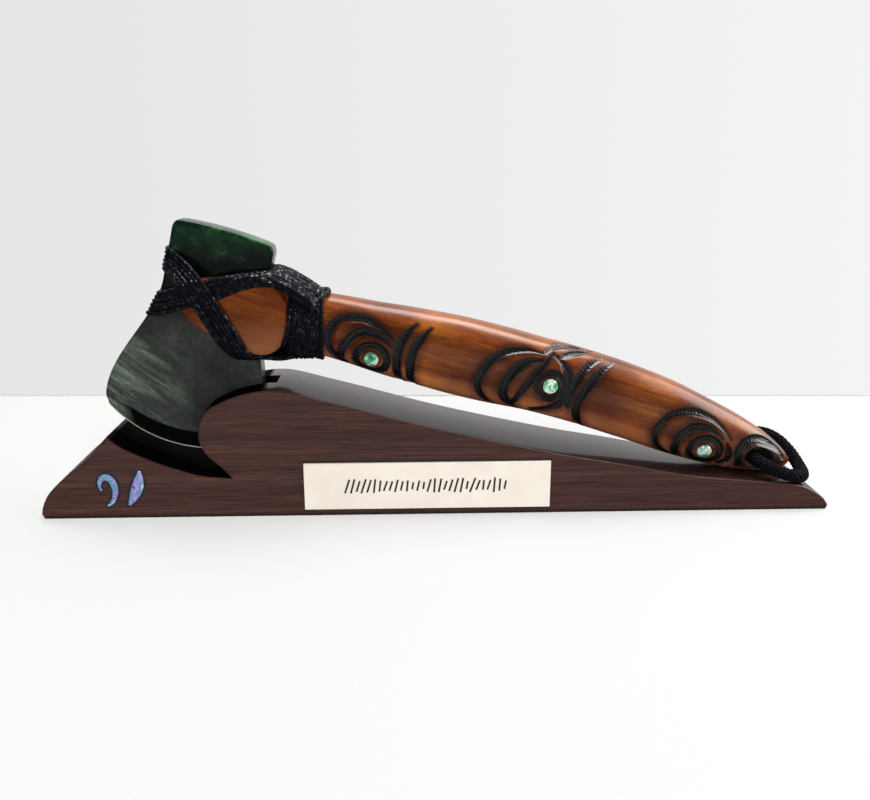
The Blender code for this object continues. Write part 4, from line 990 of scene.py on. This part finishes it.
FORK_TOP, FORK_BOTTOM = 20.3, -16.4
FORK_HALF_DEPTH, FORK_RIM = 15.3, 2.2
NOSE_FROM, NOSE_LENGTH, NOSE_LEVEL = 34.6, 14.2, 0.5
nose = []
for angle in np.radians(np.linspace(-90, 90, 49)):
    reach = (FORK_TOP - NOSE_LEVEL) if angle > 0 else (NOSE_LEVEL - FORK_BOTTOM)
    nose.append((NOSE_FROM + NOSE_LENGTH * abs(math.cos(angle)) ** 0.9,
                 NOSE_LEVEL + reach * math.sin(angle)))
fork_end = smooth_curve(((18.0, 19.9), (9.0, 19.6), (3.4, 18.4), (1.0, 16.7), (0.1, 13.8),
                         (0.0, 9.6), (0.1, 5.6), (1.0, 2.4), (3.2, -0.2), (26.0, -14.9)), 60)
fork_outline = np.vstack((nose, fork_end)) + AXE_PLACE
fork = prism("fork", fork_outline, -FORK_HALF_DEPTH, FORK_HALF_DEPTH, rounding=FORK_RIM,
             steps=6, materials=[lacquered_wood])
fork = cut(fork, stone_slot("slot"))
haft = outward(add_mesh("handle", surface.reshape(-1, 3), ring_faces(*X.shape),
                        [lacquered_wood], 180))
# Painted shading is stored with the stains; the fork gets one even level of it.
for label, on_grip, on_fork in (("stain", stain, 0.0), ("glaze", glaze, 0.25),
                                ("painted_shading", painted_shading_at(np.sin(np.radians(A))), 0.88)):
    store(haft, label, on_grip)
    store(fork, label, np.full(len(fork.data.vertices), on_fork))
placed(joined(haft, fork), "lacquered_wood", "haft")

# %% [markdown]
# ## Greenstone head: its form
# The stone is a grid with two directions of its own: along the head, from the poll to the cutting
# edge, and across it, from the toe's side to the heel's. The half thickness of every vertex comes
# from its distances to the sides, to the poll and to the edge, which gives the eased rims and the
# cutting bevel in one formula. The rows stand closer where the form turns quickly.

# %% Grid over the stone
def clustered(length, steps, start, end):
    """Numbers from 0 to 1 with fixed distances kept near the start and the end."""
    low, high = np.array(start) / length, 1 - np.array(end)[::-1] / length
    return np.concatenate((low, np.linspace(low[-1], high[0], steps)[1:-1], high))


RIM = 1.5
rim_steps = [RIM * (1 - math.cos(t)) for t in np.linspace(0, math.pi / 2, 7)]
bevel_steps = list(np.linspace(0, 9.2, 16)) + list(np.linspace(9.5, 11.9, 14))
s, t = np.meshgrid(clustered(60.0, 64, rim_steps, rim_steps),
                   clustered(106.0, 80, rim_steps, bevel_steps))
along, across = t * HEAD_LENGTH, (s - 0.5) * 2 * HALF_POLL
for _ in range(12):
    cut_back = CORNER * np.clip((along - CORNER_AT) / 5.0, 0, 1)
    front_limit = front_side(along / HEAD_LENGTH) + cut_back
    back_limit = back_side(along / HEAD_LENGTH) - cut_back
    across = front_limit + (back_limit - front_limit) * s
    start = poll_crown(np.clip(across / HALF_POLL, -1, 1))
    along = start + (edge_along(across) - start) * t
to_side = np.minimum(across - front_limit, back_limit - across)
to_poll = along - start
to_edge = edge_along(across) - along


def eased_rim(distance, radius=RIM):
    """How far a rounded rim has dropped at a distance from the side."""
    return radius - np.sqrt(np.maximum(radius**2 - (radius - np.minimum(distance, radius))**2, 0))


flat = HALF_STONE - 0.12 * (2 * s - 1) ** 2 + 0.04 * np.sin(along / 9.0 + across / 13.0) - 0.06
flat = flat - eased_rim(to_side) - eased_rim(to_poll)
BEVEL_RUN, BEVEL_START, BEVEL_RISE = 10.2, 0.8, 6.2
hollow = 0.25 * np.sin(math.pi * np.clip(to_edge / BEVEL_RUN, 0, 1))
bevel = BEVEL_START + BEVEL_RISE * to_edge / BEVEL_RUN - hollow
soft = np.clip(0.5 + (flat - bevel) / 0.5, 0, 1)
half_thickness = np.maximum(flat * (1 - soft) + bevel * soft - 0.25 * soft * (1 - soft), 0.5)
place = from_head(along, across)
front = np.stack((place[..., 0], -half_thickness, place[..., 1]), axis=-1)
verts = np.vstack((front.reshape(-1, 3), (front * (1, -1, 1)).reshape(-1, 3)))
rows, columns = s.shape
index = np.arange(rows * columns).reshape(rows, columns)
other = index + rows * columns


def quads(a, b, c, d):
    """Faces from four arrays of corners."""
    return list(zip(*(part.ravel().tolist() for part in (a, b, c, d))))


faces = quads(index[:-1, :-1], index[:-1, 1:], index[1:, 1:], index[1:, :-1])
faces += quads(other[:-1, :-1], other[1:, :-1], other[1:, 1:], other[:-1, 1:])
for rim, match in ((index[:, 0], other[:, 0]), (index[::-1, -1], other[::-1, -1]),
                   (index[0, ::-1], other[0, ::-1]), (index[-1], other[-1])):
    faces += quads(rim[:-1], rim[1:], match[1:], match[:-1])
stone = outward(add_mesh("greenstone_head", verts, faces, [greenstone], 30))
store(stone, "edge_distance", np.concatenate((to_edge.ravel(), to_edge.ravel())))
placed(stone, "greenstone", "axe_head")

# %% [markdown]
# ## Stand
# The stand is one block, sawn to a profile: a horn and a notch that hold the blade, a hump with a
# slot, and a long fall to a low seat for the butt. The profile is a dense smooth curve, its rims
# are rounded by hand, and the slot and the seat are Boolean cuts.

# %% Profile, slot and seat
STAND_HALF = 22.5                        # half of its thickness
long_run = smooth_curve((
    (-99.1, 19.5), (-103.7, 24.6), (-109.9, 30.5), (-113.0, 36.2), (-113.7, 40.0),
    (-112.3, 47.3), (-109.0, 52.8), (-101.5, 57.2), (-93.1, 60.3), (-77.8, 62.3), (-51.9, 56.4),
    (0.1, 42.4), (57.1, 29.7), (86.1, 24.5), (123.1, 17.7), (138.1, 16.1), (150.1, 15.0),
    (172.9, 12.8), (180.9, 10.1), (186.7, 6.3), (189.7, 2.4)), 330)
notch_floor = smooth_curve((
    (-99.1, 19.5), (-113.1, 21.0), (-125.5, 24.7), (-133.2, 27.5), (-139.6, 30.3),
    (-146.0, 33.3), (-151.0, 36.1), (-156.0, 40.6)), 70)
horn_back = smooth_curve((
    (-156.0, 40.6), (-167.5, 28.8), (-177.7, 20.5), (-186.2, 11.8), (-189.2, 5.7),
    (-189.9, 2.2)), 60)
stand_outline = np.vstack((((-188.7, 0.0), (188.7, 0.0), (189.6, 1.2)), long_run[::-1],
                           notch_floor[1:], horn_back[1:]))
stand = prism("wooden_stand", stand_outline, -STAND_HALF, STAND_HALF, rounding=0.9, steps=4,
              materials=[stained_wood])
runout = np.array(((-104.4, 29.9), (-80.8, 29.9), (-78.7, 30.8), (-77.8, 32.9), (-77.8, 68.0),
                   (-104.4, 68.0)))
stand = cut(stand, stone_slot("stone_slot"))
stand = cut(stand, prism("slot_runout", runout, -SLOT_HALF, SLOT_HALF))
BUTT_FROM, BUTT_RINGS, BUTT_SIDES = 240, 40, 48
butt = np.meshgrid(np.linspace(BUTT_FROM, GRIP_END, BUTT_RINGS),
                   np.linspace(-180, 180, BUTT_SIDES, endpoint=False), indexing="ij")
butt = grip_point(*butt, grow=AIR).reshape(-1, 3)
stand = cut(stand, outward(add_mesh("seat", butt, ring_faces(BUTT_RINGS, BUTT_SIDES))))
print("stand:", len(stand.data.polygons), "faces")

# %% [markdown]
# ## Lashing: cords pulled tight
# Two bands of waxed cord cross over the stone and the fork. Each cord is computed the way a real
# one lies: along a path on the side view it needs to clear everything under it, and pulled tight
# it takes the shortest way round, which is a convex hull, moved outwards by the cord's radius.
# A grid over the side view keeps how far out the axe and the cords laid before reach.

# %% Height of the axe over its side view
CELL = 0.25
FIELD_LOW = np.array((-32.0, -32.0))
gx, gz = np.meshgrid(np.arange(-32, 78, CELL), np.arange(-32, 56, CELL), indexing="ij")
plan_stone, plan_fork = stone_outline - AXE_PLACE, fork_outline - AXE_PLACE


def inside(px, pz, outline):
    """Which points are inside a closed outline."""
    found = np.zeros(px.shape, bool)
    for (x0, z0), (x1, z1) in zip(outline, np.roll(outline, -1, axis=0)):
        if z0 != z1:
            found ^= ((z0 > pz) != (z1 > pz)) & (px < (x1 - x0) * (pz - z0) / (z1 - z0) + x0)
    return found


field = np.where(inside(gx, gz, grown(plan_stone, -0.9)), HALF_STONE, 0.0)
in_fork = inside(gx, gz, plan_fork)
cells = np.column_stack((gx[in_fork], gz[in_fork]))
rim = np.min([np.hypot(*(cells - point).T) for point in plan_fork], axis=0)
field[in_fork] = np.maximum(field[in_fork], FORK_HALF_DEPTH - eased_rim(rim, FORK_RIM))
middle, half_height, half_depth = section(gx)
reach = np.clip(1 - (np.abs(gz - middle) / half_height) ** SQUARENESS, 0, 1)
neck = half_depth * reach ** (1 / SQUARENESS) * (gx > GRIP_START)
field = np.maximum(field, neck)
# Strands will run back under the neck, so the turns round it keep room for them there
STRANDS_HALF = 8.0
under_neck = (gx > 47) & (gx < 60) & (gz > -17.4) & (gz < -12)
field[under_neck & (field < STRANDS_HALF)] = STRANDS_HALF


def field_at(places):
    """How far out the axe and its cords reach at places on the side view."""
    i = np.clip(np.round((places - FIELD_LOW) / CELL).astype(int), 0, np.array(field.shape) - 1)
    return field[i[..., 0], i[..., 1]]


def raise_field(loop, radius):
    """Adds a cord that has been laid to the grid."""
    for x, y, z in loop:
        place = np.array((x - AXE_PLACE[0], z - AXE_PLACE[1]))
        i, k = np.round((place - FIELD_LOW) / CELL).astype(int)
        block = (slice(max(i - 4, 0), i + 5), slice(max(k - 4, 0), k + 5))
        gap = np.hypot(gx[block] - place[0], gz[block] - place[1])
        top = np.where(gap < radius, abs(y) + np.sqrt(np.maximum(radius**2 - gap**2, 0)), 0)
        field[block] = np.maximum(field[block], top)


print(f"grid of {gx.shape[0]} x {gx.shape[1]} cells, up to {field.max():.1f} mm out")


# %% A cord laid tight
CORD = 0.95                              # radius of the lashing cord
TURN_STEP, LOOP_STEP = 0.3, 0.8          # radians round a corner, and millimetres along a cord


def convex_hull(points):
    """The corners of the tightest fence round some points, anticlockwise."""
    points = sorted(set(map(tuple, points)))

    def half(run):
        hull = []
        for p in run:
            while len(hull) > 1 and ((hull[-1][0] - hull[-2][0]) * (p[1] - hull[-2][1])
                                     - (hull[-1][1] - hull[-2][1]) * (p[0] - hull[-2][0])) <= 1e-9:
                hull.pop()
            hull.append(p)
        return hull[:-1]
    return np.array(half(points) + half(points[::-1]))


def directions(path):
    """Unit steps along a flat path, and the directions to the left of them."""
    ahead = unit(np.gradient(path, axis=0))
    return ahead, np.column_stack((-ahead[:, 1], ahead[:, 0]))


def tight_loop(plan_points, radius):
    """Closed path of a cord round the axe, above and below a path on the side view."""
    path = smooth_curve(plan_points, 240)
    lead = path[0] + (path[0] - path[1]) / np.linalg.norm(path[0] - path[1]) * 10
    path = np.vstack((np.linspace(lead, path[0], 40)[:-1], path))
    _, across = directions(path)
    marks = lengths_along(path)
    high = np.max([field_at(path + m * radius * across) for m in (-0.6, -0.3, 0, 0.3, 0.6)], axis=0)
    solid = (high > 0) & (marks > 4) & (marks < marks[-1] - 1)
    points = np.column_stack((marks, high))[solid]
    hull = convex_hull(np.vstack((points, points * (1, -1))))
    edges = np.roll(hull, -1, axis=0) - hull
    angles = np.arctan2(-edges[:, 0], edges[:, 1])
    outer = []
    for i, corner in enumerate(hull):
        turn = (angles[i] - angles[i - 1]) % math.tau
        for t in np.linspace(0, turn, max(2, round(turn / TURN_STEP) + 1)):
            outer.append(corner + radius * np.array((math.cos(angles[i - 1] + t),
                                                     math.sin(angles[i - 1] + t))))
    outer = np.vstack((outer, outer[:1]))
    length = lengths_along(outer)
    even = np.linspace(0, length[-1], round(length[-1] / LOOP_STEP) + 1)[:-1]
    s, y = np.interp(even, length, outer[:, 0]), np.interp(even, length, outer[:, 1])
    return np.column_stack((np.interp(s, marks, path[:, 0]) + AXE_PLACE[0], y,
                            np.interp(s, marks, path[:, 1]) + AXE_PLACE[1]))


def band(first, last, count, seed):
    """Cords side by side between two paths, each wandering a little."""
    rng = np.random.default_rng(seed)
    first, last = smooth_curve(first, 40), smooth_curve(last, 40)
    loops = []
    for share in np.linspace(0, 1, count):
        path = first + (last - first) * share
        wander = 0.25 * wavy(rng.integers(1000), np.arange(40), 6.0)
        path = path + directions(path)[1] * wander[:, None]
        loops.append(tight_loop(path, CORD * rng.uniform(0.93, 1.05)))
    for loop in loops:
        raise_field(loop, CORD)
    print(f"band of {count} cords, {sum(lengths_along(loop)[-1] for loop in loops):.0f} mm in all")
    return loops


# %% [markdown]
# ## Lashing: its parts
# In the order in which they were tied: close turns round the neck, the band that rises over the
# shoulder, the band that falls over it, strands that run back over the shoulder and under the
# fork to the neck, and a small loop where the end is tucked in.

# %% Tie the lashing
loops = band(((49.2, 22.0), (49.3, 3.0), (47.2, -8.0), (42.5, -21.0)),
             ((59.0, 17.0), (59.1, 0.0), (58.7, -10.0), (58.0, -26.0)), 9, 8)
loops += band(((-18.5, 3.2), (-12.5, 3.4), (0.5, 6.9), (17, 11.2), (33, 16.9), (46, 17.0)),
              ((-15.4, 12.4), (-10.6, 12.6), (0.5, 15.9), (18, 19.7), (34, 21.4), (46, 20.6)),
              6, 2)
loops += band(((-13.0, 25.6), (-8.0, 23.8), (0.2, 17.2), (6.6, 7.8), (15.4, -8.3), (19.6, -15.5),
               (24, -19.0)),
              ((-10.8, 34.4), (-5.0, 32.6), (6.6, 23.6), (13.6, 14.6), (24.0, -4.4), (29, -13.6),
               (33, -19.4)), 6, 5)
# Plan X, lowest and highest level of the strands there, and how far out they lie
saddle = smooth_curve(((24.0, 17.4, 20.8, 15.6), (33.0, 17.0, 22.0, 16.2),
                       (41.4, 13.4, 23.0, 15.6), (46.5, 9.8, 22.0, 15.6), (53.5, 5.0, 18.0, 15.5),
                       (58.5, 2.2, 14.8, 14.9), (61.0, 1.0, 13.0, 14.0), (63.0, 0.2, 11.6, 13.0)),
                      50)
strands = []
for number, angle in enumerate(np.radians(np.linspace(-9, 189, 21))):
    start = 0 if abs(math.cos(angle)) > 0.62 else 18
    rows = saddle[start:49 - number % 3]
    rise = float(signed_power(math.sin(angle), 0.8)) + 0.05 * wavy(60 + number, rows[:, 0], 7.0)
    y = -rows[:, 3] * signed_power(math.cos(angle), 0.8) + 0.4 * wavy(90 + number, rows[:, 0], 8.0)
    z = (rows[:, 1] + rows[:, 2]) / 2 + (rows[:, 2] - rows[:, 1]) / 2 * rise
    strands.append(np.column_stack((AXE_PLACE[0] + rows[:, 0], y, AXE_PLACE[1] + z)))
for number, y in enumerate(np.linspace(-14.2, 14.2, 16)):
    lower = 0.0 if abs(y) < 13 else 0.9
    path = smooth_curve(((17.5, y, -10.2 + lower), (26, y, -16.0 + lower), (34.6, y, -17.5 + lower),
                         (44, y * 0.96, -17.9), (51, y * 0.86, -17.2)), 40)
    path[:, 1] += 0.3 * wavy(120 + number, path[:, 0], 6.0)
    strands.append(path + (AXE_PLACE[0], 0, AXE_PLACE[1]))
field = np.where(gx > 58.9, neck, field)
loops += band(((60.4, 18.0), (60.6, 0.0), (59.9, -24.0)),
              ((63.6, 18.0), (63.7, 0.0), (62.4, -24.0)), 3, 9)
# Plan X, degrees round the grip, and height over it
knot = smooth_curve(((59.0, 18, 3.2), (61.5, 38, 3.6), (64.5, 54, 2.6), (66.4, 72, 1.2),
                     (66.7, 92, 1.0), (65.2, 112, 2.0), (62.4, 128, 3.2)), 60)
strands.append(grip_point(knot[:, 0], knot[:, 1], -1.0, knot[:, 2]))
LUMPS = 0.35
lashing = sweep("waxed_lashing", loops, CORD + 0.13, waxed_cord, lumps=LUMPS, closed=True)
more = sweep("lashing_strands", strands, CORD + 0.05, waxed_cord, lumps=LUMPS)
placed(joined(lashing, more), "black_cord", "lashing")

# %% [markdown]
# ## Shell inlays, eyes and the plate
# Two shell shapes, an opening frond and a leaf, are let into the stand with a dark line of glue
# round them. The eyes are small domed discs. The plate carries a row of shallow strokes, which
# stand for a line of writing and aren't letters.


# %% Curl and leaf
INLAY_FOOT = 6.2                         # height of both inlays over the table
CURL_X, CURL_SIZE = -158.8, 9.0
LEAF_X, LEAF_SIZE = -145.2, 18.0
# Y of the shell's rim and back, of the pocket's two ends, and of the glue's face and back
SHELL_RIM, SHELL_BACK = -22.45, -21.4
POCKET_FRONT, POCKET_BACK = -26.0, -21.1
GLUE_FACE, GLUE_BACK = -22.56, -22.3
POCKET_GAP, GLUE_GAP = 0.25, 0.9         # how far each reaches past the shell
DOME = 0.32


def ribbon(spine, half_widths, grow=0.0):
    """Both sides of a ribbon along a spine, as two lines of points."""
    ahead, left = directions(spine)
    spine = spine.copy()
    spine[0] -= ahead[0] * grow
    spine[-1] += ahead[-1] * grow
    out = -left * (half_widths + grow)[:, None]
    return spine + out, spine - out


def ribbon_prism(name, spine, half_widths, grow, low, high, materials=()):
    """A flat solid under a ribbon, a little wider than it."""
    left, right = ribbon(spine, half_widths, grow)
    return prism(name, np.vstack((left, right[::-1])), low, high, materials=materials)


def curl_spine(t):
    """The opening frond: a spiral that tightens, widest near its middle."""
    turn, radius = np.radians(-85 + 300 * t), CURL_SIZE * (0.93 - 0.58 * t)
    spine = np.column_stack((
        CURL_X + radius * np.cos(turn) * 0.66,
        INLAY_FOOT + CURL_SIZE * (0.96 + 0.12 * t) + radius * np.sin(turn)))
    return spine, CURL_SIZE * (0.06 + 0.15 * np.sin(math.pi * np.minimum(t * 1.1, 1.0)))


def leaf_spine(t):
    """The leaf: a slanting bow, pointed at both ends."""
    bow = 0.08 * np.sin(math.pi * t) + 0.34 * (t - 0.5)
    spine = np.column_stack((LEAF_X + bow * LEAF_SIZE,
                             INLAY_FOOT + LEAF_SIZE * (0.02 + 0.96 * t)))
    return spine, LEAF_SIZE * (0.02 + 0.15 * np.sin(math.pi * t) ** 0.8)


def domed_inlay(name, spine, half_widths, node_name):
    """A ribbon of shell, domed across and rounded at its rims."""
    left, right = ribbon(spine, half_widths)
    verts = []
    for a, b in zip(left, right):
        for u in np.linspace(0, 1, 11):
            bulge = DOME * (1 - abs(2 * u - 1) ** 3)
            x, z = a + (b - a) * u
            verts.append((x, SHELL_RIM - bulge, z))
        verts += [(b[0], SHELL_BACK, b[1]), (a[0], SHELL_BACK, a[1])]
    inlay = add_mesh(name, verts, ring_faces(len(left), 13), [inlay_shell], 50)
    placed(outward(inlay), "paua_shell", node_name)


grid = np.linspace(0, 1, 70)
for name, node_name, (spine, widths) in (("frond_inlay", "shell_curl", curl_spine(grid)),
                                         ("leaf_inlay", "shell_leaf", leaf_spine(grid))):
    domed_inlay(name, spine, widths, node_name)
    stand = cut(stand, ribbon_prism(name + "_pocket", spine, widths, POCKET_GAP, POCKET_FRONT,
                                    POCKET_BACK))
    joined(stand, ribbon_prism(name + "_glue", spine, widths, GLUE_GAP, GLUE_FACE, GLUE_BACK,
                               [dark_fill]))
placed(stand, "stained_wood", "stand")

# %% Domed discs
DISC_SIDES = 40
DISC_RINGS = ((3.6, -1.7), (3.6, -0.45), (3.52, -0.25), (3.3, -0.1), (2.6, 0.12), (1.7, 0.28),
              (0.8, 0.36), (0.2, 0.38))  # radius, and level over the wood
for eye, (x, degrees) in EYES.items():
    centre = grip_point(x, degrees)
    across = grip_point(x + 0.2, degrees) - grip_point(x - 0.2, degrees)
    upward = grip_point(x, degrees + 0.5) - grip_point(x, degrees - 0.5)
    normal = np.cross(across, upward)
    normal *= np.sign(-normal[1]) / np.linalg.norm(normal)
    across = unit(across)
    upward = np.cross(normal, across)
    verts = []
    for radius, level in DISC_RINGS:
        for turn in np.linspace(0, math.tau, DISC_SIDES, endpoint=False):
            verts.append(centre + normal * level + radius * (across * math.cos(turn)
                                                             + upward * math.sin(turn)))
    disc = outward(add_mesh(f"eye_{eye}", verts, ring_faces(len(DISC_RINGS), DISC_SIDES),
                            [eye_shell], 60))
    placed(disc, "paua_shell", f"shell_disc_{eye}")

# %% [markdown]
# The row of strokes on the plate repeats, so Geometry Nodes lays it out: a line of points is
# spread over the plate, and each point gets a short bar, leaned and shortened by chance.

# %% Plate with its row of strokes
x0, x1, z0, z1 = -64.91, 52.59, 3.71, 26.91        # left, right, bottom and top of the plate
PLATE_FACE, PLATE_BACK = -24.0, -22.8
SHADOW_FACE, SHADOW_BACK, SHADOW_GAP = -22.9, -22.52, 0.55   # a painted shadow: the dark line round the plate
plate_outline = np.array(((x0, z0), (x1, z0), (x1, z1), (x0, z1)))
plate = prism("ivory_plate_sheet", plate_outline, PLATE_FACE, PLATE_BACK, rounding=0.25,
              steps=3, materials=[ivory])
# Painted shadow: a dark sheet a little wider than the plate lies behind it.
plate_shadow_sheet = prism("plate_shadow", grown(plate_outline, SHADOW_GAP), SHADOW_FACE, SHADOW_BACK,
                materials=[dark_fill])

stroke_tree, inlet, outlet, STROKE_INPUTS = new_tree(
    "row_of_strokes", "GeometryNodeTree",
    (("Count", "NodeSocketInt", 30), ("Spacing", "NodeSocketFloat", 0.0026),
     ("Height", "NodeSocketFloat", 0.0078), ("Width", "NodeSocketFloat", 0.0009),
     ("Seed", "NodeSocketInt", 3), ("Material", "NodeSocketMaterial", None)),
    (("Geometry", "NodeSocketGeometry"),))


def chance(low, high, offset):
    """A random number for each point, with a seed of its own."""
    seed = maths(stroke_tree, "ADD", inlet.outputs["Seed"], offset)
    return node(stroke_tree, "FunctionNodeRandomValue", {2: low, 3: high, "Seed": seed},
                data_type="FLOAT").outputs[1]


def combined(**axes):
    """A vector from what is given for its axes."""
    return node(stroke_tree, "ShaderNodeCombineXYZ", axes).outputs[0]


line = node(stroke_tree, "GeometryNodeMeshLine", {
    "Count": inlet.outputs["Count"], "Offset": combined(X=inlet.outputs["Spacing"])})
bar = node(stroke_tree, "GeometryNodeMeshCube", {
    "Size": combined(X=inlet.outputs["Width"], Y=0.00012, Z=inlet.outputs["Height"])})
spread = node(stroke_tree, "GeometryNodeInstanceOnPoints", {
    "Points": line.outputs[0], "Instance": bar.outputs[0],
    "Rotation": combined(Y=chance(0.05, 0.35, 0)),
    "Scale": combined(X=1.0, Y=1.0, Z=chance(0.45, 1.0, 11))})
finish_tree(stroke_tree, spread.outputs[0], inlet, outlet)

strokes = add_mesh("plate_strokes", [(0, 0, 0)], [])
modifier = strokes.modifiers.new("strokes", "NODES")
modifier.node_group = stroke_tree
modifier[STROKE_INPUTS["Material"]] = dark_fill
strokes = applied(strokes)
STROKES_AT = Vector((-44.5, -24.02, 15.3))         # where the first one stands
strokes.data.transform(Matrix.Translation(STROKES_AT * MM))
placed(joined(plate, plate_shadow_sheet, strokes), "ivory_plate", "name_plate")

# %% [markdown]
# ## Floor, light and background
# The axe stands on a plain white table that ends in a low lip a little way behind it. The light
# is broad and soft: a large panel overhead draws the long highlight down the handle, and the room
# itself is brighter behind the table than behind the camera, which keeps the stone's face dark.
# One more lamp lights the table alone: it whitens it under a short, soft shadow.

# %% Table
TABLE_HALF = 3000
TABLE_BACK = (297, 93)                   # Y of its back edge at the left and right ends
LIP = 0.9                                # height of the lip behind it
table_white, tree, shader = new_material("table_white")
rays = node(tree, "ShaderNodeLightPath").outputs
bounced = mix(tree, rays["Is Glossy Ray"], (0.148, 0.138, 0.128), (0.017, 0.017, 0.017))
plug(tree, shader, {
    "Base Color": mix(tree, rays["Is Camera Ray"], bounced, (0.150, 0.150, 0.1485)),
    "Roughness": 0.7, "Specular IOR Level": 0.2})
corners = ((-TABLE_HALF, -TABLE_HALF, 0), (TABLE_HALF, -TABLE_HALF, 0),
           (TABLE_HALF, TABLE_BACK[1], 0), (-TABLE_HALF, TABLE_BACK[0], 0),
           (TABLE_HALF, TABLE_BACK[1], LIP), (-TABLE_HALF, TABLE_BACK[0], LIP))
table = add_mesh("table", corners, [(0, 1, 2, 3), (3, 2, 4, 5)], [table_white])
print("table:", len(table.data.polygons), "faces")

# %% Lamps
AXE_MIDDLE = (0, 0, 0.05)


def area_light(name, place, size, power):
    """A rectangular panel that faces the axe."""
    data = bpy.data.lights.new(name, "AREA")
    data.shape = "RECTANGLE"
    data.size, data.size_y = size
    data.energy = power
    light = bpy.data.objects.new(name, data)
    light.location = place
    light.rotation_euler = (Vector(AXE_MIDDLE) - Vector(place)).to_track_quat("-Z", "Y").to_euler()
    bpy.context.scene.collection.objects.link(light)
    return light


area_light("ceiling_panel", (0.10, 0.30, 1.05), (1.1, 0.42), 17.0)
area_light("window", (1.0, 0.05, 0.55), (0.9, 0.7), 11.0)
front_fill = area_light("front_fill", (0.0, -1.2, 0.30), (1.4, 0.6), 9.5)
front_fill.visible_glossy = False

table_sun = bpy.data.lights.new("table_sun", "SUN")
table_sun.energy = 18.0
table_sun.angle = math.radians(60)
table_light = bpy.data.objects.new("table_light", table_sun)
table_light.rotation_euler = (math.radians(40), 0, 0)
bpy.context.scene.collection.objects.link(table_light)
lit_only = bpy.data.collections.new("table_only")
lit_only.objects.link(table)
table_light.light_linking.receiver_collection = lit_only
print("lamps:", ", ".join(light.name for light in bpy.data.lights))

# %% Room
world = bpy.data.worlds.new("room")
bpy.context.scene.world = world
world.use_nodes = True
tree = world.node_tree
x, y, z = split(tree, node(tree, "ShaderNodeTexCoord").outputs["Generated"])
behind = remap(tree, y, -0.6, 0.6, 0.05, 0.75)
above = remap(tree, z, 0.35, 1.0, 0.0, 0.35)
right = remap(tree, x, 0.45, 0.95, 0.0, 0.9)
light_room = maths(tree, "MAXIMUM", behind, above)
light_room = maths(tree, "MAXIMUM", light_room, right)
seen = node(tree, "ShaderNodeLightPath").outputs["Is Camera Ray"]
wall = remap(tree, x, -0.45, 0.50, 0.778, 0.905)
level = node(tree, "ShaderNodeMix", {0: seen, 2: light_room, 3: wall}, data_type="FLOAT").outputs[0]
room = node(tree, "ShaderNodeCombineColor", {"Red": level, "Green": level, "Blue": level})
plug(tree, tree.nodes["Background"], {"Color": room.outputs[0]})
bpy.context.scene.view_settings.view_transform = "Standard"
print("room:", len(tree.nodes), "nodes")
